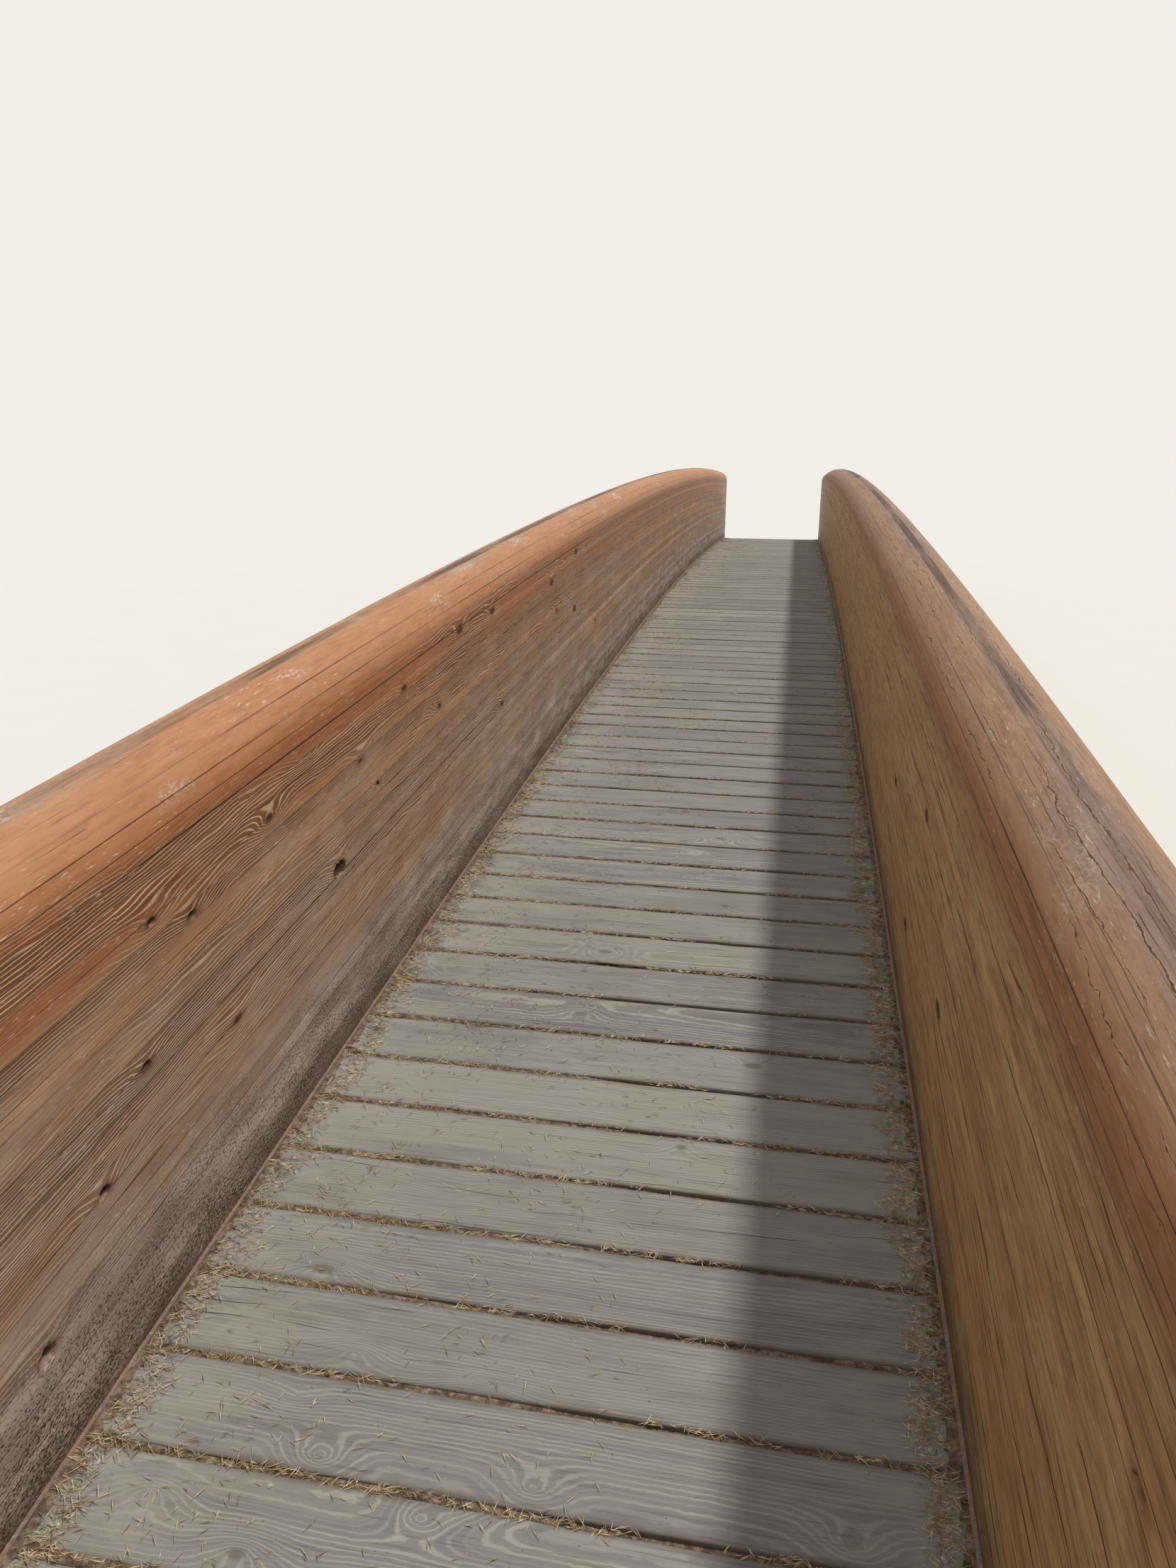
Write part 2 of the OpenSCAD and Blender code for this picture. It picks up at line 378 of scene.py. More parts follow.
def stained_glulam(name, look, knots, lamination_height):
    """Douglas-fir laminations, planed, glued and brushed with an orange film stain that has weathered.
    The eye gets burnt orange where the stain holds, grey-brown wood with raised pale late-wood lines
    where it has worn, thin dark checks along the grain and dark glue lines every 38 mm."""
    material, tree = new_material(name)
    skin = add(tree, "Attribute", attribute_name="skin").outputs["Vector"]
    rise = add(tree, "Attribute", attribute_name="rise").outputs["Fac"]
    girth = add(tree, "Attribute", attribute_name="girth").outputs["Fac"]
    along, round_up, deep = add(tree, "SeparateXYZ", (skin,)).outputs
    seed = look["seed"]

    # Each lamination is made of boards about 4.2 m long, and each board has tones of its own
    level = add(tree, "Math", (
        rise, 1 / lamination_height, GIRDER_BELOW / lamination_height,
    ), operation="MULTIPLY_ADD")
    lamination = add(tree, "Math", (level,), operation="FLOOR")
    stagger = add(tree, "TexWhiteNoise", {"W": lamination}, noise_dimensions="1D")
    lengths = add(tree, "Math", (
        along, 1 / BOARD_LENGTH, stagger.outputs["Value"],
    ), operation="MULTIPLY_ADD")
    board = add(tree, "Math", (lengths,), operation="FLOOR")
    board_id = add(tree, "CombineXYZ", (lamination, board, seed))
    chance = add(tree, "TexWhiteNoise", {"Vector": board_id}, noise_dimensions="3D")
    chances = add(tree, "SeparateColor", (chance.outputs["Color"],))

    # Growth rings: nearly parallel to the board, with a slow wander, and swirls round the knots
    tilt = add(tree, "MapRange", {"Value": chances.outputs[0], "To Min": -0.02, "To Max": 0.02})
    lean = add(tree, "MapRange", {"Value": chances.outputs[1], "To Min": 0.45, "To Max": 1.0})
    rings = add(tree, "Math", (round_up, lean), operation="MULTIPLY")
    rings = add(tree, "Math", (along, tilt, rings), operation="MULTIPLY_ADD")
    rings = add(tree, "Math", (deep, 0.55, rings), operation="MULTIPLY_ADD")
    rings = add(tree, "Math", (rings, chances.outputs[2]), operation="ADD")
    wander = stretched_noise(tree, skin, (1.8, 10, 10), 2.5, 0.5, (seed, 0, 0))
    rings = add(tree, "Math", (wander, 0.048, rings), operation="MULTIPLY_ADD")
    ragged = stretched_noise(tree, skin, (26, 90, 90), 2.0, 0.5)
    rings = add(tree, "Math", (ragged, 0.0014, rings), operation="MULTIPLY_ADD")
    distances = knot_distances(tree, skin, 0.42, knots)
    swirl = knot_field(tree, distances, [math.sqrt(push) for s, h, push, pit in knots], 0.075)
    rings = add(tree, "Math", (swirl, swirl, rings), operation="MULTIPLY_ADD")
    # Rings are 3 to 5 mm apart on the real wood, and drawn at 6.5 mm so that they show
    lines = ring_lines(tree, rings, 0.0065)

    # Weathering from the spring down and on the ridge, broken by patches that follow the grain
    height_share = add(tree, "MapRange", (round_up, -GIRDER_BELOW, 1.2))
    worn_at = ramp_stops(add(tree, "ValToRGB", {"Fac": height_share}), look["worn_at"])
    patches = stretched_noise(tree, skin, (1.0, 3.4, 3.4), 7.0, 0.66, (2 + seed, 5, 1))
    stipple = stretched_noise(tree, skin, (90, 210, 210), 2.0, 0.6, (4, 1, 2))
    worn = add(tree, "Math", (worn_at, patches), operation="ADD")
    # Some boards hold their stain better than their neighbours
    holds = add(tree, "MapRange", {"Value": chances.outputs[0], "To Min": -0.075, "To Max": 0.075})
    holds = add(tree, "Math", (
        holds, add(tree, "MapRange", (round_up, 1.0, 0.9), **SOFT),
    ), operation="MULTIPLY")
    worn = add(tree, "Math", (worn, holds), operation="ADD")
    worn = add(tree, "Math", (stipple, 0.5, worn), operation="MULTIPLY_ADD")
    worn = add(tree, "MapRange", (worn, 1.1, 1.48), **SOFT)
    cloud = stretched_noise(tree, skin, look["cloud"], 5.0, 0.62, (9, 3, seed))
    stain = coated(tree, srgb(look["stain"]), [
        (add(tree, "MapRange", (chances.outputs[1], 0.0, 1.0), **SOFT), srgb(look["stain_deep"]), "MIX"),
        (add(tree, "MapRange", (cloud, 0.42, 0.66), **SOFT), srgb(look["stain_pale"]), "MIX"),
        # On the right girder the crown colour is partly painted shade on the round top
        (add(tree, "MapRange", (round_up, 0.84, 0.98, 0.0, 0.8), **SOFT), srgb(look["crown"]), "MIX"),
    ])
    # On the right girder the bare colours are painted darker as shade, which shows mostly on its worn
    # round top
    bare = coated(tree, srgb(look["bare"]), [
        (add(tree, "MapRange", (cloud, 0.35, 0.68), **SOFT), srgb(look["bare_pale"]), "MIX"),
    ])
    held = add(tree, "Math", (worn, look["wear"]), operation="MULTIPLY")
    coats = [(held, bare, "MIX")]

    # The saturated band under the spring, where rain never reaches the stain
    band = add(tree, "Math", (
        add(tree, "MapRange", (round_up, look["band"][0], look["band"][1]), **SOFT),
        add(tree, "MapRange", (round_up, look["band"][3], look["band"][2]), **SOFT),
    ), operation="MULTIPLY")
    band = add(tree, "Math", (
        band, add(tree, "MapRange", (cloud, 0.3, 0.5, 0.2, look["band_share"]), **SOFT),
    ), operation="MULTIPLY")
    coats.append((band, srgb(look["burnt"]), "MIX"))

    # Raised late wood stands out pale on the sides, and the soft wood between has sunk and is darker
    flat_side = add(tree, "MapRange", (round_up, 0.99, 0.9), **SOFT)
    relief_patch = stretched_noise(tree, skin, (0.8, 9, 9), 3.0, 0.6, (4, 8, seed))
    own_relief = add(tree, "MapRange", {"Value": chances.outputs[1], "To Min": -0.13, "To Max": 0.13})
    relief_patch = add(tree, "Math", (relief_patch, own_relief), operation="ADD")
    relief = add(tree, "Math", (
        add(tree, "MapRange", (relief_patch, 0.34, 0.6, 0.1, 1.0), **SOFT), flat_side,
    ), operation="MULTIPLY")
    relief = add(tree, "Math", (
        relief, add(tree, "MapRange", (round_up, 0.0, 0.5, 0.4, 1.0), **SOFT),
    ), operation="MULTIPLY")
    relief = add(tree, "Math", (relief, look["relief"]), operation="MULTIPLY")
    pale_line = add(tree, "Math", (lines, relief), operation="MULTIPLY")
    coats.append((pale_line, srgb(look["line"]), "MIX"))
    sunk = add(tree, "Math", (1.0, lines), operation="SUBTRACT")
    sunk = add(tree, "Math", (sunk, relief), operation="MULTIPLY")
    coats.append((sunk, srgb(look["sunk"]), "MULTIPLY"))

    # Fine mottling, and thin dark streaks along the grain
    mottle = stretched_noise(tree, skin, (11, 60, 60), 4.5, 0.68, (5, 5, seed))
    mottle = add(tree, "Math", (
        add(tree, "MapRange", (mottle, 0.42, 0.66), **SOFT),
        add(tree, "MapRange", (round_up, 0.9, 1.0, look["mottle"], look["top_mottle"]), **SOFT),
    ), operation="MULTIPLY")
    coats.append((mottle, srgb("#C4B8AE"), "MULTIPLY"))
    streak = stretched_noise(tree, skin, (2.0, 52, 52), 4.0, 0.62, (1, seed, 6))
    streaks = add(tree, "Math", (
        add(tree, "MapRange", (streak, 0.54, 0.68), **SOFT), look["streaks"],
    ), operation="MULTIPLY")
    coats.append((streaks, srgb(look["streak"]), "MULTIPLY"))

    # Dirt thrown up from the deck lies on the lowest 250 mm of the inner face, with dark specks
    inside = add(tree, "MapRange", (deep, 0.012, 0.004), **SOFT)
    dirt_edge = stretched_noise(tree, skin, (2.2, 4, 4), 5.0, 0.65, (7, 7, seed))
    dirt_height = add(tree, "Math", (dirt_edge, -0.42, round_up), operation="MULTIPLY_ADD")
    dirt = add(tree, "Math", (
        add(tree, "MapRange", (dirt_height, look["dirt"], look["dirt"] - 0.26), **SOFT), inside,
    ), operation="MULTIPLY")
    grime = coated(tree, srgb(look["grime"]), [
        (add(tree, "MapRange", (cloud, 0.4, 0.65), **SOFT), srgb(look["grime_pale"]), "MIX"),
    ])
    coats.append((add(tree, "Math", (dirt, 0.88), operation="MULTIPLY"), grime, "MIX"))
    # The lowest 75 mm of the inner face, by the deck, is darker still
    foot = add(tree, "Math", (
        add(tree, "MapRange", (round_up, 0.075, 0.0), **SOFT), inside,
    ), operation="MULTIPLY")
    coats.append((foot, srgb("#BBB2A7"), "MULTIPLY"))
    specks = stretched_noise(tree, skin, (120, 185, 185), 4.0, 0.75)
    clusters = stretched_noise(tree, skin, (7, 22, 22), 2.0, 0.6, (3, 0, 8))
    specks = add(tree, "Math", (clusters, 0.22, specks), operation="MULTIPLY_ADD")
    specks = add(tree, "Math", (
        add(tree, "MapRange", (round_up, 0.16, 0.0), **SOFT), 0.06, specks,
    ), operation="MULTIPLY_ADD")
    speck_share = add(tree, "Math", (
        add(tree, "MapRange", (specks, 0.625, 0.705), **SOFT), dirt,
    ), operation="MULTIPLY")
    coats.append((speck_share, srgb("#493B2E"), "MIX"))

    # Pale flecks where the film has flaked, denser on the round top
    flecks = stretched_noise(tree, skin, (26, 150, 150), 3.0, 0.7, (3, 3, 3))
    fleck_zone = stretched_noise(tree, skin, (1.3, 9, 9), 3.0, 0.6, (6, seed, 2))
    fleck_share = add(tree, "Math", (
        add(tree, "MapRange", (flecks, 0.61, 0.68), **SOFT),
        add(tree, "MapRange", (fleck_zone, 0.42, 0.6, 0.08, look["flecks"]), **SOFT),
    ), operation="MULTIPLY")
    coats.append((fleck_share, srgb(look["fleck"]), "MIX"))

    # Here and there on the round top a hand's breadth of film has come off in grey-white flakes
    flakes = stretched_noise(tree, skin, (70, 105, 105), 3.0, 0.65, (seed, 7, 3))
    flake_zone = stretched_noise(tree, skin, (3.2, 8, 8), 2.0, 0.5, (8, seed, 5))
    flake_zone = add(tree, "Math", (
        add(tree, "MapRange", (flake_zone, 0.61, 0.69), **SOFT),
        add(tree, "MapRange", (round_up, 0.96, 1.02), **SOFT),
    ), operation="MULTIPLY")
    flake_share = add(tree, "Math", (
        add(tree, "MapRange", (flakes, 0.48, 0.56, 0.0, look["flakes"]), **SOFT), flake_zone,
    ), operation="MULTIPLY")
    coats.append((flake_share, srgb("#C6BDB3"), "MIX"))

    # The film has curled up pale at the lips of the long cracks on the round top
    on_top = add(tree, "MapRange", (round_up, 0.95, 1.0), **SOFT)
    long_cracks = (0.7, look["long_checks"], seed + 0.5, 0.45)
    lips = crack_lines(tree, skin, girth, 0.040, 0.0038, *long_cracks)
    lip_share = add(tree, "Math", (lips, on_top), operation="MULTIPLY")
    lip_share = add(tree, "Math", (
        lip_share, add(tree, "MapRange", (flecks, 0.44, 0.6, 0.0, 0.6), **SOFT),
    ), operation="MULTIPLY")
    coats.append((lip_share, srgb(look["lip"]), "MIX"))

    # Checks: few and thin on the sides, many on the ridge
    side_checks = crack_lines(
        tree, skin, girth, 0.043, look["check_width"], 0.45, look["checks"], seed + 0.3
    )
    side_checks = add(tree, "Math", (side_checks, flat_side), operation="MULTIPLY")
    ridge_checks = crack_lines(
        tree, skin, girth, 0.0135, look["ridge_width"], 0.13, look["ridge_checks"], seed + 0.7
    )
    ridge = add(tree, "MapRange", (round_up, look["ridge"], look["ridge"] + 0.07), **SOFT)
    ridge_zone = stretched_noise(tree, skin, (0.9, 7, 7), 3.0, 0.6, (1, 4, seed))
    ridge = add(tree, "Math", (
        ridge, add(tree, "MapRange", (ridge_zone, 0.38, 0.56, 0.25, 1.0), **SOFT),
    ), operation="MULTIPLY")
    ridge_checks = add(tree, "Math", (ridge_checks, ridge), operation="MULTIPLY")
    checks = add(tree, "Math", (side_checks, ridge_checks), operation="MAXIMUM")
    # Long jagged cracks run over the round top, up to 3 mm wide
    long_checks = crack_lines(tree, skin, girth, 0.040, 0.0016, *long_cracks)
    long_checks = add(tree, "Math", (long_checks, on_top), operation="MULTIPLY")
    checks = add(tree, "Math", (checks, long_checks), operation="MAXIMUM")
    # Glue lines are dark and broken, about 1 mm wide, and drawn at 2 mm so that they show from afar
    edge = add(tree, "Math", (level, 0.5), operation="PINGPONG")
    glue = add(tree, "MapRange", (edge, 0.04, 0.014), **SOFT)
    glue_zone = stretched_noise(tree, skin, (1.1, 26, 0), 3.0, 0.6, (2, 2, 2))
    glue = add(tree, "Math", (
        glue, add(tree, "MapRange", (glue_zone, 0.42, 0.6, 0.24, 0.9), **SOFT),
    ), operation="MULTIPLY")
    # Where a glue line gapes, dirt and shade darken about 3 mm on each side of it
    gape = add(tree, "Attribute", attribute_name="gape").outputs["Fac"]
    glue = add(tree, "Math", (
        glue, add(tree, "MapRange", (gape, 0.91, 0.985), **SOFT),
    ), operation="MAXIMUM")
    dark = add(tree, "Math", (checks, glue), operation="MAXIMUM")
    # Knots leave a dark pit with a reddish rim. A pit widens faster than its size in the table
    pits = knot_field(tree, distances, [pit ** 1.25 for s, h, push, pit in knots], 0.030)
    coats.append((add(tree, "MapRange", (pits, 0.27, 0.7, 0.0, 0.5), **SOFT), srgb("#7E4A31"), "MIX"))
    dark = add(tree, "Math", (
        dark, add(tree, "MapRange", (pits, 0.64, 0.83), **SOFT),
    ), operation="MAXIMUM")
    coats.append((add(tree, "Math", (dark, 0.85), operation="MULTIPLY"), srgb("#2C1C13"), "MIX"))

    fibre = stretched_noise(tree, skin, (22, 480, 480), 2.0, 0.6)
    height = add(tree, "Math", (pale_line, 1.1), operation="MULTIPLY")
    height = add(tree, "Math", (fibre, 0.25, height), operation="MULTIPLY_ADD")
    height = add(tree, "Math", (glue, -1.6, height), operation="MULTIPLY_ADD")
    roughness = add(tree, "MapRange", {"Value": held, "To Min": look["gloss"], "To Max": 0.86})
    surface(tree, coated(tree, stain, coats), roughness, height, specular=0.35)
    return material


def weathered_plank(name, knots):
    """Rough-sawn softwood planks, bare and silvered by weather and feet.
    The eye gets grey-brown wood, pale late-wood lines that sweep into arches and ring the knots,
    tan dust and brown dirt along the joints, and thin cracks."""
    material, tree = new_material(name)
    board = add(tree, "Attribute", attribute_name="board").outputs["Vector"]
    heart = add(tree, "Attribute", attribute_name="heart").outputs["Vector"]
    tone = add(tree, "Attribute", attribute_name="tone").outputs["Vector"]
    tones = add(tree, "SeparateXYZ", (tone,)).outputs
    place = add(tree, "Attribute", attribute_name="place").outputs["Vector"]
    places = add(tree, "SeparateXYZ", (place,)).outputs

    # Growth rings round the board's own heart, which wanders along its length
    warp = stretched_noise(tree, board, (1.3, 4.2, 4.2), 3.5, 0.5)
    warp = add(tree, "VectorMath", (warp.outputs["Color"], (0.5, 0.5, 0.5)), operation="SUBTRACT")
    moved = add(tree, "VectorMath", (warp, (0, 0.036, 0.036), heart), operation="MULTIPLY_ADD")
    flat = add(tree, "VectorMath", (moved, (0, 1, 1)), operation="MULTIPLY")
    radius = add(tree, "VectorMath", (flat,), operation="LENGTH").outputs["Value"]
    # Chance knots, about one to a plank, and the ones that show nearest the camera
    spread = add(tree, "Mapping", {"Vector": board, "Scale": (1.15, 2.3, 0)})
    cells = add(tree, "TexVoronoi", {
        "Vector": spread, "Scale": 1.0, "Randomness": 1.0,
    }, voronoi_dimensions="2D", feature="F1")
    cell_chance = add(tree, "SeparateColor", (cells.outputs["Color"],))
    knotty = add(tree, "MapRange", (cell_chance.outputs[0], 0.5, 0.56), **SOFT)
    swirl = add(tree, "MapRange", (cells.outputs["Distance"], 0.2, 0.0, 0.0, 1.0))
    swirl = add(tree, "Math", (swirl, 2.0), operation="POWER")
    swirl = add(tree, "Math", (swirl, 0.055), operation="MULTIPLY")
    swirl = add(tree, "Math", (swirl, knotty), operation="MULTIPLY")
    radius = add(tree, "Math", (radius, swirl), operation="ADD")
    distances = knot_distances(tree, board, 0.6, knots)
    swept = knot_field(tree, distances, [math.sqrt(push) for x, y, push, dark in knots], 0.080)
    radius = add(tree, "Math", (swept, swept, radius), operation="MULTIPLY_ADD")
    ragged = stretched_noise(tree, board, (34, 70, 70), 3.0, 0.55)
    radius = add(tree, "Math", (ragged, 0.0052, radius), operation="MULTIPLY_ADD")
    # Rings are 3 to 6 mm apart on the real wood, and drawn at 7.5 mm so that they show
    lines = ring_lines(tree, radius, 0.0075, 0.44)
    # Wet and dry years: every few rings the wood is darker and its late wood shows less
    years = add(tree, "Math", (radius, 62.0), operation="MULTIPLY")
    years = add(tree, "Math", (tones[0], 40.0, years), operation="MULTIPLY_ADD")
    years = add(tree, "TexNoise", {
        "W": years, "Scale": 1.0, "Detail": 2.0, "Roughness": 0.6,
    }, noise_dimensions="1D")

    clouds = stretched_noise(tree, board, (3, 9, 9), 4.0, 0.6, (3, 1, 2))
    dark_years = add(tree, "Math", (
        add(tree, "MapRange", (years, 0.44, 0.64, 0.0, 0.9), **SOFT), tones[2],
    ), operation="MULTIPLY")
    coats = [
        (tones[0], srgb("#999791"), "MIX"),
        (add(tree, "MapRange", (tones[1], 0.5, 1.1, 0.0, 0.7), **SOFT), srgb("#8C8A83"), "MIX"),
        (add(tree, "MapRange", (clouds, 0.4, 0.68, 0.0, 0.55), **SOFT), srgb("#A09F9B"), "MIX"),
        (dark_years, srgb("#717176"), "MIX"),
    ]
    strength = add(tree, "MapRange", {"Value": tones[2], "To Min": 0.12, "To Max": 0.62})
    contrast = add(tree, "Math", (
        strength, add(tree, "MapRange", (clouds, 0.34, 0.56, 0.45, 1.0), **SOFT),
    ), operation="MULTIPLY")
    contrast = add(tree, "Math", (
        contrast, add(tree, "MapRange", (years, 0.66, 0.44, 0.45, 1.0), **SOFT),
    ), operation="MULTIPLY")
    pale = add(tree, "Math", (lines, contrast), operation="MULTIPLY")
    coats.append((pale, srgb("#ADA99F"), "MIX"))
    sunk = add(tree, "Math", (1.0, lines), operation="SUBTRACT")
    sunk = add(tree, "Math", (sunk, contrast), operation="MULTIPLY")
    coats.append((sunk, srgb("#ABA9AA"), "MULTIPLY"))
    fibre = stretched_noise(tree, board, (5, 230, 230), 3.0, 0.65)
    coats.append((
        add(tree, "MapRange", (fibre, 0.52, 0.7, 0.0, 0.4), **SOFT), srgb("#8D867D"), "MULTIPLY"
    ))

    # Water stains, darker and bluer than the wood, in patches that follow the grain
    stains = stretched_noise(tree, board, (1.5, 13, 13), 6.0, 0.68, (4, 1, 9))
    coats.append((
        add(tree, "MapRange", (stains, 0.5, 0.66, 0.0, 0.42), **SOFT), srgb("#C3C1C6"), "MULTIPLY"
    ))

    # Knots: a dark heart and a darker rim
    eye = add(tree, "Math", (
        add(tree, "MapRange", (cells.outputs["Distance"], 0.036, 0.018), **SOFT), knotty,
    ), operation="MULTIPLY")
    named = knot_field(tree, distances, [dark for x, y, push, dark in knots], 0.020)
    eye = add(tree, "Math", (
        eye, add(tree, "MapRange", (named, 0.35, 0.8), **SOFT),
    ), operation="MAXIMUM")
    coats.append((add(tree, "Math", (eye, 0.55), operation="MULTIPLY"), srgb("#5A4B3F"), "MIX"))

    # Tan dust near the girders and brown dirt along the joints
    to_side = add(tree, "Math", (places[0],), operation="ABSOLUTE")
    dust_noise = stretched_noise(tree, board, (6, 14, 14), 5.0, 0.65, (5, 5, 5))
    side_dust = add(tree, "Math", (
        add(tree, "MapRange", (to_side, 0.3, 0.74, 0.0, 0.75), **SOFT),
        add(tree, "MapRange", (dust_noise, 0.36, 0.62), **SOFT),
    ), operation="MULTIPLY")
    coats.append((side_dust, srgb("#9E9B94"), "MIX"))
    to_joint = add(tree, "Math", (places[1],), operation="ABSOLUTE")
    joint_wave = add(tree, "Math", (dust_noise, 0.034, to_joint), operation="MULTIPLY_ADD")
    joint_dirt = add(tree, "MapRange", (joint_wave, 0.094, 0.112, 0.0, 0.72), **SOFT)
    coats.append((joint_dirt, srgb("#665B4F"), "MIX"))
    # Cracks follow the grain and gather on some planks
    cracks = crack_lines(tree, board, places[1], 0.036, 0.0013, 0.35, 0.5, 0.4)
    cracks = add(tree, "Math", (
        cracks, add(tree, "MapRange", (tones[1], 0.35, 0.55), **SOFT),
    ), operation="MULTIPLY")
    coats.append((add(tree, "Math", (cracks, 0.85), operation="MULTIPLY"), srgb("#2F2821"), "MIX"))
    specks = stretched_noise(tree, board, (90, 130, 130), 2.0, 0.6)
    coats.append((
        add(tree, "MapRange", (specks, 0.68, 0.76, 0.0, 0.6), **SOFT), srgb("#4F4438"), "MIX"
    ))

    height = add(tree, "Math", (pale, 0.9), operation="MULTIPLY")
    height = add(tree, "Math", (fibre, 0.5, height), operation="MULTIPLY_ADD")
    surface(tree, coated(tree, srgb("#7F7E7B"), coats), 0.88, height, specular=0.3)
    return material


def rusted_steel(name, rust, scale_colour, bare, scale=22.0):
    """Hot-rolled mild steel, unpainted, rusted outdoors. The eye gets brown and orange blooms of rust
    over darker mill scale, with a rough, pitted surface that hardly shines."""
    material, tree = new_material(name)
    coords = add(tree, "TexCoord").outputs["Object"]
    bloom = stretched_noise(tree, coords, [scale * 0.35] * 3, 6.0, 0.65)
    mottling = stretched_noise(tree, coords, [scale * 3] * 3, 4.0, 0.65, (3, 3, 3))
    pits = stretched_noise(tree, coords, (420, 420, 420), 2.0, 0.6)
    base = coated(tree, srgb(scale_colour), [
        (add(tree, "MapRange", (bloom, 0.42, 0.6), **SOFT), srgb(rust), "MIX"),
        (add(tree, "MapRange", (mottling, 0.5, 0.68, 0.0, 0.7), **SOFT), srgb(bare), "MIX"),
        (add(tree, "MapRange", (pits, 0.55, 0.68, 0.0, 0.6), **SOFT), srgb("#6B5145"), "MULTIPLY"),
    ])
    roughness = add(tree, "MapRange", (bloom, 0.3, 0.7, 0.6, 0.9))
    height = add(tree, "Math", (pits, 0.5, mottling), operation="MULTIPLY_ADD")
    surface(tree, base, roughness, height, metallic=0.15, depth=0.0012)
    return material


def galvanised_steel(name, bright, dull):
    """Steel dipped in zinc. The eye gets a pale blue-grey metal with a soft crystal spangle and
    a chalky film of white oxide that dulls the shine."""
    material, tree = new_material(name)
    coords = add(tree, "TexCoord").outputs["Object"]
    # Spangles are 8 to 15 mm across
    mapped = add(tree, "Mapping", {"Vector": coords, "Scale": (85, 85, 85)})
    spangle = add(tree, "TexVoronoi", {"Vector": mapped, "Scale": 1.0}, feature="F1")
    crystal = add(tree, "SeparateColor", (spangle.outputs["Color"],))
    film = stretched_noise(tree, coords, (14, 14, 14), 5.0, 0.65)
    base = coated(tree, srgb(dull), [
        (crystal.outputs[0], srgb(bright), "MIX"),
        (add(tree, "MapRange", (film, 0.46, 0.66, 0.0, 0.6), **SOFT), srgb("#B9B8B2"), "MIX"),
    ])
    roughness = add(tree, "MapRange", (film, 0.35, 0.65, 0.42, 0.72))
    height = add(tree, "Math", (crystal.outputs[1], 0.12, film), operation="MULTIPLY_ADD")
    surface(tree, base, roughness, height, metallic=0.45, depth=0.0004)
    return material


def cast_concrete(name):
    """Concrete cast against boards. The eye gets a pale grey cement face with board lines every
    150 mm, small air holes, and damp brown stains near the ground."""
    material, tree = new_material(name)
    coords = add(tree, "TexCoord").outputs["Object"]
    parts = add(tree, "SeparateXYZ", (coords,)).outputs
    cloud = stretched_noise(tree, coords, (3.5, 3.5, 5), 6.0, 0.65)
    sand = stretched_noise(tree, coords, (260, 260, 260), 3.0, 0.7)
    courses = add(tree, "Math", (parts[2], 0.150), operation="DIVIDE")
    course = add(tree, "Math", (courses, 0.5), operation="PINGPONG")
    joint = add(tree, "MapRange", (course, 0.02, 0.006), **SOFT)
    spread = add(tree, "Mapping", {"Vector": coords, "Scale": (26, 26, 26)})
    holes = add(tree, "TexVoronoi", {"Vector": spread, "Scale": 1.0}, feature="F1")
    hole = add(tree, "MapRange", (holes.outputs["Distance"], 0.11, 0.06), **SOFT)
    marks = add(tree, "Math", (joint, hole), operation="MAXIMUM")
    damp = add(tree, "Math", (cloud, -0.16, parts[2]), operation="MULTIPLY_ADD")
    base = coated(tree, srgb("#938E85"), [
        (add(tree, "MapRange", (cloud, 0.35, 0.66), **SOFT), srgb("#B5B0A6"), "MIX"),
        (add(tree, "MapRange", (sand, 0.5, 0.7, 0.0, 0.45), **SOFT), srgb("#8B867D"), "MULTIPLY"),
        (add(tree, "Math", (marks, 0.55), operation="MULTIPLY"), srgb("#5C574F"), "MIX"),
        (add(tree, "MapRange", (damp, 0.03, -0.06, 0.0, 0.6), **SOFT), srgb("#6E6557"), "MIX"),
    ])
    height = add(tree, "Math", (marks, -2.5, sand), operation="MULTIPLY_ADD")
    surface(tree, base, 0.9, height, specular=0.3)
    return material


def needle_litter(name, colours):
    """Dry fallen needles and grit, packed by feet and rain. The eye gets tan and brown fibres of
    mixed tone with no shine."""
    material, tree = new_material(name)
    coords = add(tree, "TexCoord").outputs["Object"]
    tone = stretched_noise(tree, coords, (60, 60, 60), 3.0, 0.7)
    stops = zip((0.34, 0.50, 0.64), (srgb(colour) for colour in colours))
    base = ramp_stops(add(tree, "ValToRGB", {"Fac": tone}), list(stops))
    grit = stretched_noise(tree, coords, (380, 380, 380), 2.0, 0.6)
    surface(tree, base, 0.95, grit, depth=0.0015, specular=0.2)
    return material


# Girders

def girder_outline(bm, half_width, arris):
    """Square timber with a half-round top and eased lower edges, standing on the arc's crest."""
    tall = GIRDER_ABOVE + GIRDER_BELOW
    foot = CREST_HEIGHT - GIRDER_BELOW
    stand = Matrix.Translation((0, 0, foot + tall / 2)) @ Matrix.Rotation(math.pi / 2, 4, "X")
    bmesh.ops.create_grid(bm, x_segments=1, y_segments=1, size=0.5)
    bmesh.ops.transform(bm, verts=bm.verts, matrix=stand @ Matrix.Diagonal((2 * half_width, tall, 1, 1)))
    upper = [v for v in bm.verts if v.co.z > CREST_HEIGHT]
    bmesh.ops.bevel(
        bm, geom=upper, offset=half_width * 0.99995, offset_type="OFFSET", segments=18,
        profile=0.5, affect="VERTICES", material=-1,
    )
    lower = [v for v in bm.verts if v.co.z < foot + 1e-4]
    bmesh.ops.bevel(
        bm, geom=lower, offset=arris, offset_type="OFFSET", segments=1,
        profile=0.5, affect="VERTICES", material=-1,
    )
    bmesh.ops.remove_doubles(bm, verts=bm.verts, dist=2e-5)


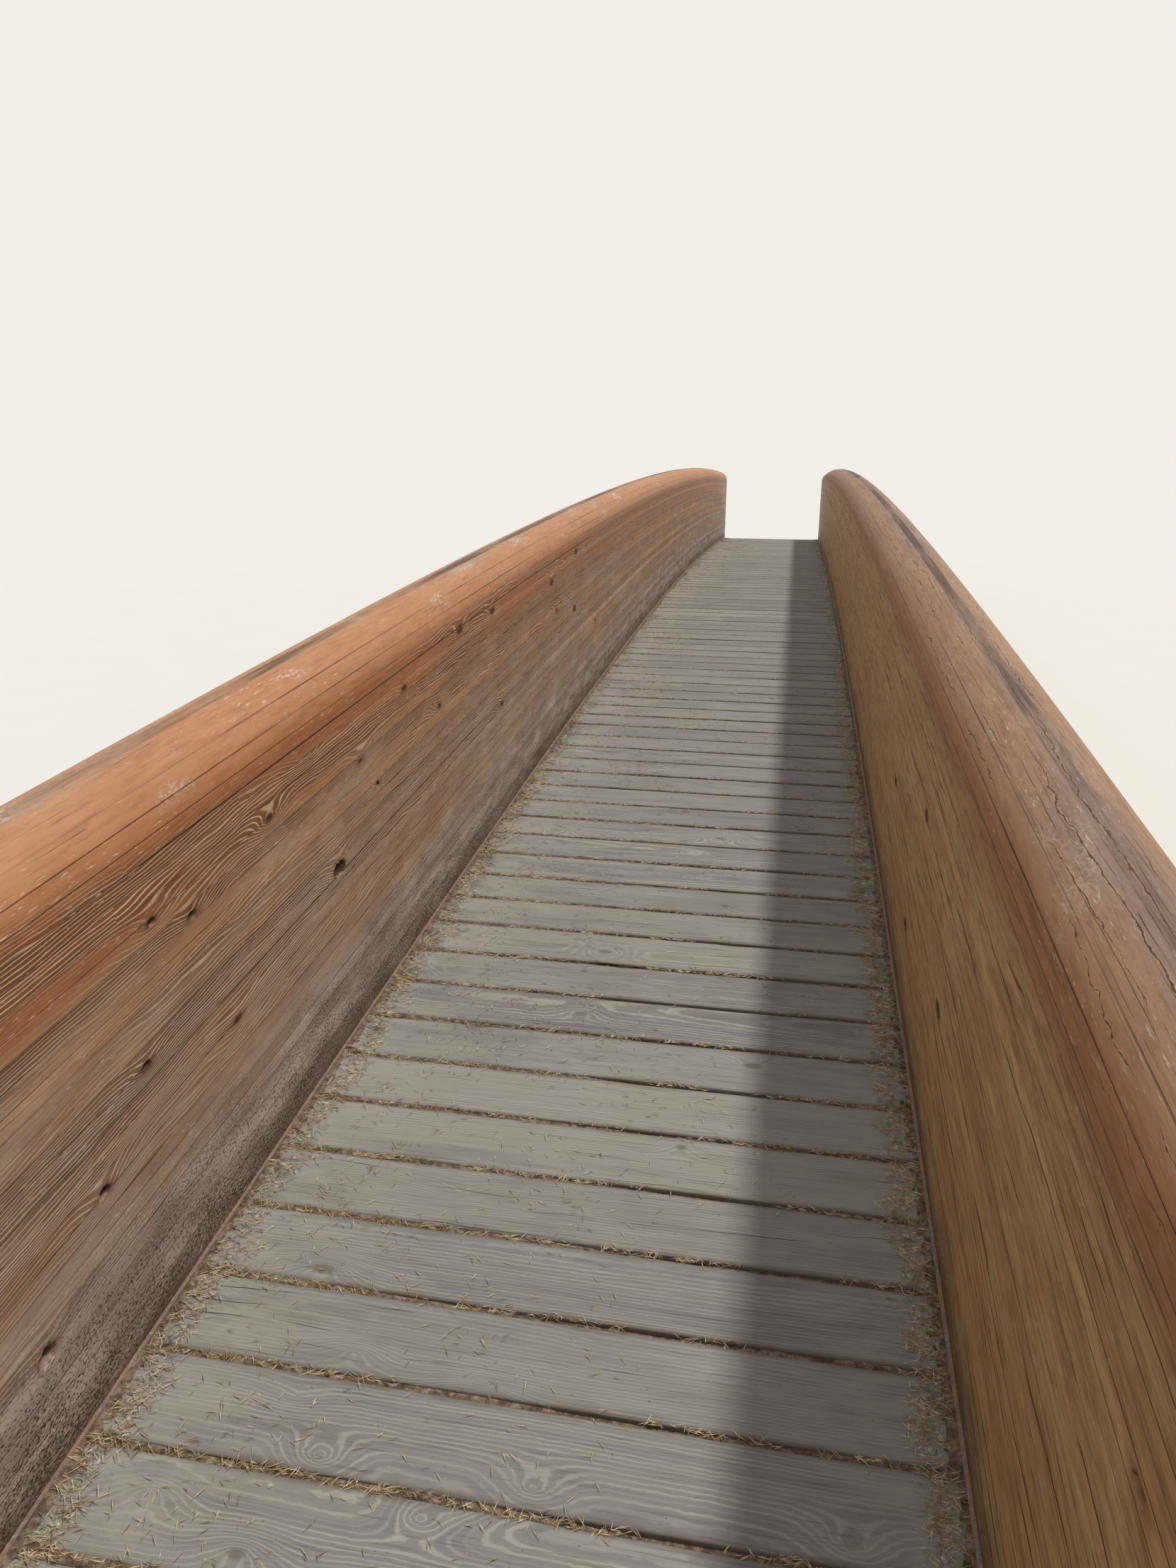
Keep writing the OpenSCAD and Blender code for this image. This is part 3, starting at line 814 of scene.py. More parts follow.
def weather_girder(bm, side, middle, spring, cracks, settings):
    """Sets each lamination a little proud or shy, wears the glue lines hollow and opens the cracks."""
    pitch = settings.lamination
    gape = bm.verts.layers.float.new("gape")
    stand = [
        0.0006 * (random.Random(SEED + 97 * k + side).random() - 1) for k in range(LAMINATIONS + 1)
    ]
    for v in bm.verts:
        along, above = on_arc(v.co)
        from_line = (above + GIRDER_BELOW) / pitch
        k = round(from_line)
        gap = (from_line - k) * pitch
        out = Vector((v.co.x - middle, 0, max(above - spring, 0)))
        out.normalize()
        depth = -stand[int(min(max(from_line, 0), LAMINATIONS))]
        part = 0.0
        if 0 < k < LAMINATIONS and abs(gap) < settings.glue_width * 1.02:
            opened = 0.0
            for line, face, start, end, deep in cracks:
                if k == line and out.x * side * face > 0:
                    ends = smooth(start, start + 0.35, along) * smooth(end, end - 0.35, along)
                    waver = 0.6 + 0.8 * abs(noise.noise((along * 2.3, k * 1.7, 5.0)))
                    opened = max(opened, deep * ends * waver)
            if abs(gap) < 2e-5:
                worn = noise.noise((along * 1.4, k * 7.7, side * 3.1)) ** 2 * 4
                depth = max(settings.glue_depth * (0.4 + worn), opened)
            else:
                part = math.copysign(min(opened * 0.18, 0.0016), gap)
            v[gape] = min(opened / 0.004, 1.0)
        v.co += arc_frame(along).to_3x3() @ (Vector((0, 0, part)) - out * depth)


def sink_knot_hole(bm, side, along, above, size, tall):
    """Sinks a ragged hole in the inner face, where a knot has dropped out."""
    centre = arc_frame(along, above, side * GIRDER_INNER).translation
    edges = set()
    for face in bm.faces:
        spot = face.calc_center_median()
        if (spot - centre).length < 0.055 and abs(spot.x - centre.x) < 0.01:
            edges.update(e for e in face.edges if e.calc_length() > 0.012)
    if not edges:
        raise RuntimeError(f"no face for the knot hole at {along}, {above}")
    bmesh.ops.subdivide_edges(bm, edges=list(edges), cuts=4, use_grid_fill=True)
    for v in bm.verts:
        if abs(v.co.x - centre.x) > 0.01 or (v.co - centre).length > 0.05:
            continue
        a, h = on_arc(v.co)
        ragged = 1 + 0.45 * noise.noise((a * 70, h * 70, along * 9))
        far = math.hypot((a - along) / (size * 1.35), (h - above) / (tall * size)) / ragged
        if far < 1:
            v.co.x += side * 0.016 * (1 - far ** 3)


def map_girder(bm, side, half_width, spring):
    """Keeps what the finish reads: along, up round the face and in from the inner face (skin), the
    plain height (rise), and the way from the inner foot over the top to the outer foot (girth)."""
    skin = bm.verts.layers.float_vector.new("skin")
    rise = bm.verts.layers.float.new("rise")
    girth = bm.verts.layers.float.new("girth")
    ridge = spring + half_width * math.pi / 2
    for v in bm.verts:
        along, above = on_arc(v.co)
        deep = side * v.co.x - GIRDER_INNER
        round_up = above
        if above > spring:
            round_up = spring + math.atan2(above - spring, abs(deep - half_width)) * half_width
        v[skin] = (along, round_up, deep)
        v[rise] = above
        v[girth] = round_up if deep < half_width else 2 * ridge - round_up


def build_girder(side, look, cracks, settings):
    """One girder: its outline turned along the arc, with glue lines, open cracks and knot holes."""
    half_width = (GIRDER_OUTER - GIRDER_INNER) / 2
    spring = GIRDER_ABOVE - half_width
    middle = side * (GIRDER_OUTER + GIRDER_INNER) / 2
    bm = bmesh.new()
    girder_outline(bm, half_width, settings.arris)
    # Three cuts at each glue line: its two lips, and its bottom between them
    for k in range(1, LAMINATIONS):
        line = -GIRDER_BELOW + settings.lamination * k
        for lip in (-settings.glue_width, 0.0, settings.glue_width):
            slice_at(bm, (0, 0, CREST_HEIGHT + line + lip), (0, 0, 1))
    cuts = [e for e in bm.edges if not e.is_boundary]
    bmesh.ops.delete(bm, geom=bm.faces[:], context="FACES_ONLY")
    bmesh.ops.delete(bm, geom=cuts, context="EDGES")
    bmesh.ops.translate(bm, verts=bm.verts, vec=(middle, 0, 0))
    # Fine steps where the camera stands, and coarse ones beyond
    reach = GIRDER_END + 0.08
    stops = [(-reach, -7.7, 22), (-7.7, -4.6, 124), (-4.6, -1.0, 60), (-1.0, reach, 96)]
    bmesh.ops.rotate(
        bm, verts=bm.verts, cent=ARC_CENTRE, matrix=Matrix.Rotation(reach / ARC_RADIUS, 3, "X")
    )
    last = bm.verts[:] + bm.edges[:]
    for start, end, steps in stops:
        last = bmesh.ops.spin(
            bm, geom=last, cent=ARC_CENTRE, axis=(-1, 0, 0), angle=(end - start) / ARC_RADIUS,
            steps=steps,
        )["geom_last"]
    weather_girder(bm, side, middle, spring, cracks, settings)
    for hole in look["holes"]:
        sink_knot_hole(bm, side, *hole)

    # Level seat over each shoe, and plumb end cuts
    slice_at(bm, (0, 0, GIRDER_SEAT), (0, 0, -1), clear=True)
    slice_at(bm, (0, GIRDER_END, 0), (0, 1, 0), clear=True)
    slice_at(bm, (0, -GIRDER_END, 0), (0, -1, 0), clear=True)
    bmesh.ops.holes_fill(bm, edges=[e for e in bm.edges if e.is_boundary], sides=0)
    bmesh.ops.recalc_face_normals(bm, faces=bm.faces)
    map_girder(bm, side, half_width, spring)
    return bm


# The two girders' finish: colours, the heights of their bands in metres up and round the face from the
# deck, widths of checks in metres, and the rest as shares. Wear goes by height, from 0 at the foot to 1
# just past the ridge
LEFT_LOOK = {
    "seed": 1.0, "gloss": 0.55, "cloud": (3.2, 11, 11), "relief": 0.64, "wear": 0.80,
    "stain": "#B98258", "stain_deep": "#A77450", "stain_pale": "#C29069", "crown": "#B57D52",
    "bare": "#A08B77", "bare_pale": "#B5A391", "line": "#DFCCB6", "sunk": "#A99583",
    "burnt": "#A66536", "band": (0.74, 0.84, 0.93, 1.00), "band_share": 0.7,
    "streak": "#A88B76", "streaks": 0.16, "mottle": 0.38, "top_mottle": 0.38,
    "grime": "#95897B", "grime_pale": "#B8AD9F", "dirt": 0.17,
    "fleck": "#DCC4AA", "flecks": 0.85, "flakes": 0.75, "lip": "#CDA683",
    "checks": 0.42, "check_width": 0.0014, "long_checks": 0.35,
    "ridge": 0.98, "ridge_checks": 0.50, "ridge_width": 0.0010,
    "worn_at": [
        (0.0, 0.60), (0.30, 0.67), (0.55, 0.60), (0.70, 0.49), (0.78, 0.14), (0.88, 0.20), (0.94, 0.42),
        (1.0, 0.64),
    ],
    # Knot holes: arc length, height, half their length, and height over length
    "holes": [
        (-6.711, 0.738, 0.011, 0.8), (-5.69, 0.636, 0.010, 0.9), (-6.003, 0.510, 0.027, 0.75),
        (-6.846, 0.795, 0.009, 0.7), (-6.933, 0.531, 0.009, 0.6), (-7.108, 0.384, 0.015, 0.8),
        (-7.318, 0.224, 0.014, 1.3),
    ],
}
# The right girder's crown and bare colours are darker and greyer than the left's: partly its own
# weathered wood, partly painted shade on its round top
RIGHT_LOOK = {
    "seed": 6.0, "gloss": 0.6, "cloud": (2.0, 12, 12), "relief": 0.10, "wear": 0.80,
    "stain": "#C09461", "stain_deep": "#B08657", "stain_pale": "#C4A26D", "crown": "#936D53",
    "bare": "#7D6B62", "bare_pale": "#918078", "line": "#C2AA85", "sunk": "#A99678",
    "burnt": "#A2683F", "band": (0.88, 0.95, 0.98, 1.05), "band_share": 0.7,
    "streak": "#A58A67", "streaks": 0.36, "mottle": 0.70, "top_mottle": 0.45,
    "grime": "#6F6252", "grime_pale": "#877A68", "dirt": -0.06,
    "fleck": "#DDD2C8", "flecks": 0.5, "flakes": 0.20, "lip": "#BE936C",
    "checks": 0.72, "check_width": 0.0034, "long_checks": 0.95,
    "ridge": 1.01, "ridge_checks": 0.85, "ridge_width": 0.0009,
    "worn_at": [
        (0.0, 0.44), (0.30, 0.30), (0.55, 0.26), (0.72, 0.28), (0.82, 0.20), (0.91, 0.32), (0.955, 0.66),
    ],
    "holes": [
        (-5.733, 0.659, 0.008, 0.5), (-4.93, 0.459, 0.009, 0.5), (-5.543, 0.239, 0.008, 0.45),
        (-6.249, 0.391, 0.010, 0.45), (-7.655, 0.742, 0.015, 0.55),
    ],
}
# Knots in the girders: arc length, height, how far they push the rings, and size of the pit
LEFT_KNOTS = [
    (-6.846, 0.795, 0.022, 1.0), (-6.711, 0.738, 0.026, 1.0), (-6.003, 0.511, 0.036, 1.55),
    (-6.35, 0.80, 0.036, 1.0), (-5.69, 0.636, 0.026, 0.9), (-7.108, 0.384, 0.030, 1.0),
    (-7.318, 0.224, 0.022, 1.0), (-6.933, 0.531, 0.028, 1.0), (-6.60, 0.42, 0.022, 1.0),
    (-5.10, 0.70, 0.032, 1.0), (-4.30, 0.48, 0.030, 1.0), (-3.20, 0.66, 0.030, 1.0),
    (-2.10, 0.40, 0.030, 1.0), (-0.60, 0.72, 0.030, 1.0), (1.40, 0.50, 0.030, 1.0),
    (3.60, 0.66, 0.030, 1.0), (6.20, 0.44, 0.030, 1.0), (8.50, 0.62, 0.030, 1.0),
    (-5.805, 0.748, 0.022, 0.9), (-5.425, 0.853, 0.020, 1.05), (-4.83, 0.905, 0.020, 1.35),
    (-3.313, 0.819, 0.024, 1.4), (-2.748, 0.587, 0.024, 1.5), (-2.694, 0.885, 0.020, 1.5),
    (-4.394, 0.887, 0.020, 1.2), (-6.158, 0.897, 0.030, 0.7),
]
RIGHT_KNOTS = [
    (-5.733, 0.659, 0.022, 1.35), (-4.93, 0.459, 0.022, 1.35), (-5.543, 0.239, 0.020, 1.35),
    (-6.249, 0.391, 0.025, 1.35), (-7.655, 0.742, 0.030, 1.0), (-3.40, 0.55, 0.022, 1.0),
    (-1.10, 0.36, 0.022, 1.0), (1.90, 0.62, 0.022, 1.0), (4.80, 0.40, 0.022, 1.0),
    (7.70, 0.58, 0.022, 1.0),
]
# Open glue lines: number of the line, inner (-1) or outer (1) face, from, to, and depth in metres
LEFT_CRACKS = [
    (32, -1, -7.0, -2.0, 0.010), (21, -1, -6.9, -4.4, 0.007), (24, -1, -6.3, -5.2, 0.005),
    (35, -1, -7.6, -6.4, 0.004), (14, -1, -7.9, -6.6, 0.005), (32, 1, -4.0, 3.5, 0.008),
    (18, 1, 1.0, 5.0, 0.005),
]
RIGHT_CRACKS = [
    (34, -1, -8.6, -5.6, 0.006), (29, -1, -7.2, -5.4, 0.003), (33, 1, -6.0, 1.0, 0.008),
]


class FOOTBRIDGE_PG_girders(bpy.types.PropertyGroup):
    lamination: FloatProperty(
        name="Lamination", description="Thickness of one lamination", default=LAMINATION,
        min=0.02, max=0.06, unit="LENGTH",
    )
    glue_width: FloatProperty(
        name="Glue Line Half Width", description="Half the width of the worn groove at a glue line",
        default=0.0008, min=0.0003, max=0.004, unit="LENGTH",
    )
    glue_depth: FloatProperty(
        name="Glue Line Depth", description="Depth of that groove where it hasn't opened",
        default=0.0006, min=0.0, max=0.004, unit="LENGTH",
    )
    arris: FloatProperty(
        name="Arris", description="Chamfer of the two lower edges", default=0.010, min=0.002, max=0.03,
        unit="LENGTH",
    )


class FOOTBRIDGE_OT_girders(bpy.types.Operator):
    """Builds the two glued-laminated girders with their glue lines, open cracks and knot holes"""
    bl_idname = "footbridge.girders"
    bl_label = "Build Girders"

    def execute(self, context):
        settings = context.scene.footbridge_girders
        jobs = (
            ("left", LEFT_LOOK, LEFT_KNOTS, LEFT_CRACKS, "weathered_stained_glulam"),
            ("right", RIGHT_LOOK, RIGHT_KNOTS, RIGHT_CRACKS, "smooth_stained_glulam_painted_shade"),
        )
        for side, look, knots, cracks, finish in jobs:
            bm = build_girder(SIDES[side], look, cracks, settings)
            material = stained_glulam(finish, look, knots, settings.lamination)
            finish_piece(
                f"girder_{side}_timber", bm, material, [f"girder_{side}"], angle=0.5
            )
        return {"FINISHED"}


# Deck

# Knots that show from the near end: across and along the deck from its crest, how far they push the
# rings, and 1 where the knot's heart is dark
DECK_KNOTS = [
    (0.043, -7.243, 0.046, 0), (-0.129, -7.326, 0.050, 0), (-0.337, -7.251, 0.060, 0),
    (-0.400, -7.432, 0.044, 1), (-0.592, -7.365, 0.040, 0), (-0.425, -7.147, 0.024, 0),
    (-0.358, -7.040, 0.040, 0), (0.570, -7.242, 0.044, 1), (0.201, -6.343, 0.040, 1),
    (-0.714, -6.941, 0.036, 1), (-0.287, -6.586, 0.034, 0), (0.218, -5.044, 0.040, 1),
    (-0.187, -5.571, 0.040, 1), (-0.151, -5.810, 0.030, 1),
]
# Planks nearest the camera: heart across the plank, its depth and slope, and how strong the rings show
DECK_HEARTS = {
    14: (0.075, -0.060, 0.012, 0.52), 15: (-0.085, -0.055, -0.016, 0.50), 16: (0.14, -0.07, 0.02, 0.24),
    17: (0.09, -0.060, -0.01, 0.44), 18: (-0.16, -0.08, 0.015, 0.22), 19: (0.17, -0.08, -0.01, 0.20),
}


class FOOTBRIDGE_PG_deck(bpy.types.PropertyGroup):
    plank_width: FloatProperty(
        name="Plank Width", description="Width of a plank, along the bridge", default=PLANK_WIDTH,
        min=0.1, max=0.3, unit="LENGTH",
    )
    plank_length: FloatProperty(
        name="Plank Length", description="Length of a plank, between the ledger angles", default=1.506,
        min=0.8, max=2.4, unit="LENGTH",
    )
    plank_thickness: FloatProperty(
        name="Plank Thickness", description="Thickness of a plank", default=0.063,
        min=0.03, max=0.1, unit="LENGTH",
    )
    worn_edge: FloatProperty(
        name="Worn Edge", description="Radius of the worn upper edges", default=0.0045,
        min=0.001, max=0.012, unit="LENGTH",
    )
    head_radius: FloatProperty(
        name="Bolt Head Radius", description="Radius of the domed heads of the plank bolts",
        default=0.0085, min=0.004, max=0.02, unit="LENGTH",
    )


def build_plank(number, settings):
    """A plank with worn, ragged upper edges and a slightly cupped face, its middle at the origin."""
    chance = random.Random(SEED * 1000 + number)
    length, width, thick = settings.plank_length, settings.plank_width, settings.plank_thickness
    bm = bmesh.new()
    bmesh.ops.create_cube(bm, size=1)
    bmesh.ops.scale(bm, verts=bm.verts, vec=(length, width, thick))
    bmesh.ops.translate(bm, verts=bm.verts, vec=(0, 0, -thick / 2))
    worn = [e for e in bm.edges if all(v.co.z > -0.001 for v in e.verts)]
    bmesh.ops.bevel(
        bm, geom=worn, offset=settings.worn_edge, offset_type="OFFSET", segments=3,
        profile=0.5, affect="EDGES", material=-1,
    )
    for y in (-PLANK_BOLT_ROW, 0.0, PLANK_BOLT_ROW):
        slice_at(bm, (0, y, 0), (0, 1, 0))
    stations = 22 if number < NEAR_PLANKS else 10
    for i in range(1, stations):
        slice_at(bm, (length * (i / stations - 0.5), 0, 0), (1, 0, 0))
    # Planks have cupped by up to 1.2 mm, and lie up to 1.6 mm lower than they were laid
    cup = chance.uniform(-0.0012, 0.0004)
    low = chance.uniform(-0.0016, 0.0)
    for v in bm.verts:
        if v.co.z < -thick * 0.5:
            continue
        across = v.co.y / (width / 2)
        v.co.z += low + cup * across * across
        if abs(across) > 0.93:
            ragged = noise.noise((v.co.x * 9, number * 5.3, across * 2))
            v.co.z -= 0.0018 * max(ragged, 0)
            v.co.y -= math.copysign(0.0022 * max(ragged, 0), v.co.y)
    # What the finish reads: place on the plank, apart from all other planks, place from the heart of
    # the tree, the plank's own tones, and the plain place
    board = bm.verts.layers.float_vector.new("board")
    heart = bm.verts.layers.float_vector.new("heart")
    tone = bm.verts.layers.float_vector.new("tone")
    place = bm.verts.layers.float_vector.new("place")
    offset = chance.choice((-0.2, 0.03, 0.2)) + chance.uniform(-0.05, 0.05)
    depth, slope = -chance.uniform(0.05, 0.16), chance.uniform(-0.02, 0.02)
    rings = 0.2 + 0.5 * chance.random() ** 1.4
    offset, depth, slope, rings = DECK_HEARTS.get(number, (offset, depth, slope, rings))
    values = (chance.random(), chance.random(), rings)
    for v in bm.verts:
        x, y, z = v.co
        v[place] = (x, y, z)
        v[board] = (x + PLANK_APART * number, y, z)
        v[heart] = (x + PLANK_APART * number, y - offset, z - depth - slope * x)
        v[tone] = values
    return bm


class FOOTBRIDGE_OT_deck(bpy.types.Operator):
    """Builds the deck planks, bay by bay, and the bolts that hold each plank to the ledger angles"""
    bl_idname = "footbridge.deck"
    bl_label = "Build Deck"

    def execute(self, context):
        settings = context.scene.footbridge_deck
        knots = []
        for across, along, push, dark in DECK_KNOTS:
            number, rest = divmod(along + DECK_LENGTH / 2, PLANK_PITCH)
            knots.append((across + PLANK_APART * number, rest - PLANK_PITCH / 2, push, dark))
        material = weathered_plank("weathered_sawn_softwood", knots)
        steel = galvanised_steel("dull_galvanised_steel", "#A9ABA6", "#858884")
        for bay in range(BAYS):
            bm = bmesh.new()
            for layer in ("board", "heart", "tone", "place"):
                bm.verts.layers.float_vector.new(layer)
            for i in range(PLANKS_PER_BAY):
                number = bay * PLANKS_PER_BAY + i
                place_copies(bm, build_plank(number, settings), [arc_frame(joint_at(number + 0.5))])
            finish_piece(
                f"deck_planks_{bay + 1}", bm, material, [f"deck_bay_{bay + 1}"], angle=0.9
            )

        tops, feet = [], []
        chance = random.Random(SEED)
        upside_down = Matrix.Rotation(math.pi, 4, "X")
        for number in range(PLANKS):
            middle = arc_frame(joint_at(number + 0.5))
            for side in (-1, 1):
                for row in (-PLANK_BOLT_ROW, PLANK_BOLT_ROW):
                    x = side * (GIRDER_INNER - PLANK_BOLT_INSET) + chance.uniform(-0.004, 0.004)
                    y = row + chance.uniform(-0.006, 0.006)
                    spin = Matrix.Rotation(chance.uniform(0, 1), 4, "Z") @ upside_down
                    tops.append(middle @ Matrix.Translation((x, y, PLANK_BOLT_HEAD)))
                    feet.append(middle @ Matrix.Translation((x, y, LEDGER_UNDERSIDE)) @ spin)
        heads, nuts = bmesh.new(), bmesh.new()
        place_copies(heads, dome_head(settings.head_radius, 0.0034), tops)
        place_copies(nuts, washer_and_nut(*PLANK_NUT), feet)
        finish_piece("plank_bolt_heads", heads, steel)
        finish_piece("plank_bolt_nuts", nuts, steel)
        return {"FINISHED"}


# Steelwork and sills

def finish_nodes(start, material):
    """Gives a material to every piece of the frame whose name has this start."""
    for name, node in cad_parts.items():
        if name.startswith(start):
            node.data.materials.clear()
            node.data.materials.append(material)


def beam_places():
    """Arc length of each cross beam from the crest."""
    places = []
    for n in range(1, BAYS + 2):
        low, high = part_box(f"cross_beam_{n}")
        places.append(on_arc(Vector((0, (low.y + high.y) / 2, (low.z + high.z) / 2)))[0])
    return places


class FOOTBRIDGE_PG_steel(bpy.types.PropertyGroup):
    rust: StringProperty(
        name="Rust", description="sRGB hex colour of the rust blooms", default="#8A5F48"
    )
    mill_scale: StringProperty(
        name="Mill Scale", description="sRGB hex colour of the skin between them", default="#6B564B"
    )
    weld_leg: FloatProperty(
        name="Weld Leg", description="Leg of the fillet welds", default=0.007, min=0.003, max=0.012,
        unit="LENGTH",
    )


def weld_bead(length, leg, chance):
    """A fillet weld along X in the corner of the XY and XZ planes, with a rippled face."""
    bm = bmesh.new()
    corner = [(0, 0, 0), (0, leg, 0), (0, leg * 0.62, leg * 0.62), (0, 0, leg)]
    last = [bm.faces.new([bm.verts.new(place) for place in corner])]
    # One ripple every 9 mm
    steps = max(int(length / 0.009), 2)
    for i in range(steps):
        out = bmesh.ops.extrude_face_region(bm, geom=last)["geom"]
        verts = [g for g in out if isinstance(g, bmesh.types.BMVert)]
        bmesh.ops.translate(bm, verts=verts, vec=(length / steps, 0, 0))
        if i > 0:
            bmesh.ops.delete(bm, geom=last, context="FACES_ONLY")
        last = [g for g in out if isinstance(g, bmesh.types.BMFace)]
    for v in bm.verts:
        if v.co.y > 1e-6 and v.co.z > 1e-6:
            ripple = 0.0009 * (chance.random() - 0.3)
            v.co.y += ripple
            v.co.z += ripple
    bmesh.ops.recalc_face_normals(bm, faces=bm.faces)
    return bm


class FOOTBRIDGE_OT_steel(bpy.types.Operator):
    """Finishes the ledger angles, cross beams and shoes, and adds their bolts and welds"""
    bl_idname = "footbridge.steel"
    bl_label = "Finish Steelwork"

    def execute(self, context):
        settings = context.scene.footbridge_steel
        # The ledger steel is lighter and pinker than the beams': partly its own rust, partly painted
        # light on its narrow strip, which lies in shade
        ledger = rusted_steel("rusted_ledger_steel_painted_light", "#9A7867", "#82726A", "#A8968A", 30.0)
        beam = rusted_steel("rusted_rolled_steel", settings.rust, settings.mill_scale, "#7B675B", 16.0)
        shoe = galvanised_steel("galvanised_shoe_plate", "#A9ACA8", "#858985")
        bolts = galvanised_steel("galvanised_bolts", "#B6B8B3", "#8D908C")
        finish_nodes("ledger_angle", ledger)
        finish_nodes("cross_beam", beam)
        finish_nodes("bearing_shoe", shoe)

        # Four bolts hold each beam's end plate, and come out under washers on the girder's far face
        heads, ends = [], []
        for along in beam_places():
            for side in (-1, 1):
                turn_in = Matrix.Rotation(-side * math.pi / 2, 4, "Y")
                turn_out = Matrix.Rotation(side * math.pi / 2, 4, "Y")
                plate = Matrix.Translation((side * (GIRDER_INNER - END_PLATE), 0, 0))
                far_face = Matrix.Translation((side * GIRDER_OUTER, 0, 0))
                for row in (-BEAM_BOLT_ROW, BEAM_BOLT_ROW):
                    for drop in BEAM_BOLT_DROPS:
                        bolt = arc_frame(along) @ Matrix.Translation((0, row, BEAM_TOP + drop))
                        heads.append(bolt @ plate @ turn_in)
                        ends.append(bolt @ far_face @ turn_out)
        inner, outer = bmesh.new(), bmesh.new()
        place_copies(inner, washer_and_nut(*PLATE_HEAD), heads)
        place_copies(outer, washer_and_nut(*GIRDER_NUT), ends)
        finish_piece("beam_plate_bolt_heads", inner, bolts)
        finish_piece("girder_through_bolts", outer, bolts)

        # Each side of a shoe has two bolts through the girder, two anchor bolts and a weld at its foot
        through, anchored = [], []
        welds = bmesh.new()
        chance = random.Random(SEED + 5)
        plate_x = (GIRDER_OUTER - GIRDER_INNER) / 2 + SHOE_PLATE
        for name in [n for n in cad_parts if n.startswith("bearing_shoe")]:
            low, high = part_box(name)
            base = Vector(((low.x + high.x) / 2, (low.y + high.y) / 2, low.z + SHOE_BASE))
            beads = []
            for way in (-1, 1):
                for step in (-SHOE_BOLT_ROW, SHOE_BOLT_ROW):
                    spin = Matrix.Rotation(chance.uniform(0, 1), 4, "Z")
                    outward = Matrix.Rotation(way * math.pi / 2, 4, "Y") @ spin
                    rise = Vector((way * plate_x, step, SHOE_BOLT_RISE))
                    through.append(Matrix.Translation(base + rise) @ outward)
                    foot = Vector((way * (plate_x + ANCHOR_OUT), step, 0))
                    anchored.append(Matrix.Translation(base + foot) @ spin)
                corner = Matrix.Translation(base + Vector((way * plate_x, way * SHOE_WELD / 2, 0)))
                beads.append(corner @ Matrix.Rotation(way * -math.pi / 2, 4, "Z"))
            for bead in beads:
                place_copies(welds, weld_bead(SHOE_WELD, settings.weld_leg, chance), [bead])
        shoe_bolts, anchors = bmesh.new(), bmesh.new()
        place_copies(shoe_bolts, washer_and_nut(*SHOE_NUT), through)
        place_copies(anchors, washer_and_nut(*ANCHOR_NUT), anchored)
        finish_piece("shoe_through_bolts", shoe_bolts, bolts)
        finish_piece("shoe_anchor_bolts", anchors, bolts)
        finish_piece("shoe_welds", welds, shoe)
        return {"FINISHED"}


class FOOTBRIDGE_OT_sills(bpy.types.Operator):
    """Gives the two sills their board-marked concrete"""
    bl_idname = "footbridge.sills"
    bl_label = "Finish Sills"

    def execute(self, context):
        finish_nodes("sill", cast_concrete("board_marked_concrete"))
        return {"FINISHED"}


# Litter

class FOOTBRIDGE_PG_litter(bpy.types.PropertyGroup):
    needle_length: FloatProperty(
        name="Needle Length", description="Length of a dry needle", default=0.027,
        min=0.01, max=0.06, unit="LENGTH",
    )
    needle_width: FloatProperty(
        name="Needle Width", description="Width of a dry needle, twice the real 1 mm so that it shows",
        default=0.0020, min=0.0005, max=0.003, unit="LENGTH",
    )
    tuft_needles: IntProperty(
        name="Needles in a Tuft", description="Number of needles in each repeated tuft", default=22,
        min=4, max=60,
    )


def needle_tuft(chance, count, spread, settings):
    """Mesh of dry needles strewn over a small patch, each a three-sided spindle."""
    one = bmesh.new()
    bmesh.ops.create_cone(one, segments=3, radius1=0.5, radius2=0.0, depth=0.5, cap_ends=False)
    bmesh.ops.translate(one, verts=one.verts, vec=(0, 0, 0.25))
    bmesh.ops.mirror(one, geom=one.verts[:] + one.edges[:] + one.faces[:], axis="Z", merge_dist=1e-4)
    bmesh.ops.remove_doubles(one, verts=one.verts, dist=1e-4)
    bmesh.ops.recalc_face_normals(one, faces=one.faces)
    places = []
    for i in range(count):
        length = settings.needle_length * chance.uniform(0.6, 1.3)
        width = settings.needle_width * chance.uniform(0.7, 1.15)
        heading = chance.gauss(0, 0.55) if chance.random() < 0.6 else chance.uniform(-1.6, 1.6)
        dip = chance.gauss(0, 0.10)
        place = Matrix.Translation((
            chance.uniform(-spread[0], spread[0]) / 2,
            chance.triangular(-spread[1], spread[1], 0) / 2,
            0.0007 + abs(chance.gauss(0, 0.0016)) + abs(math.sin(dip)) * length / 2,
        ))
        place = place @ Matrix.Rotation(heading, 4, "Z") @ Matrix.Rotation(math.pi / 2 + dip, 4, "Y")
        places.append(place @ Matrix.Diagonal((width, width, length, 1)))
    tuft = bmesh.new()
    place_copies(tuft, one, places)
    return as_mesh(tuft)


def slab(size, steps, depth):
    """A flat slab, longest along X, with a fine grid on its top and a plain underside."""
    bm = bmesh.new()
    bmesh.ops.create_grid(bm, x_segments=steps[0], y_segments=steps[1], size=0.5)
    bmesh.ops.scale(bm, verts=bm.verts, vec=(size[0], size[1], 1))
    rim = [e for e in bm.edges if e.is_boundary]
    walls = bmesh.ops.extrude_edge_only(bm, edges=rim)["geom"]
    low = [g for g in walls if isinstance(g, bmesh.types.BMVert)]
    bmesh.ops.translate(bm, verts=low, vec=(0, 0, -depth))
    foot = [e for e in bm.edges if e.is_boundary]
    long_sides = [e for e in foot if abs(e.verts[0].co.y - e.verts[1].co.y) < 1e-6]
    bmesh.ops.bridge_loops(bm, edges=long_sides)
    bmesh.ops.holes_fill(bm, edges=[e for e in bm.edges if e.is_boundary], sides=0)
    bmesh.ops.recalc_face_normals(bm, faces=bm.faces)
    return bm


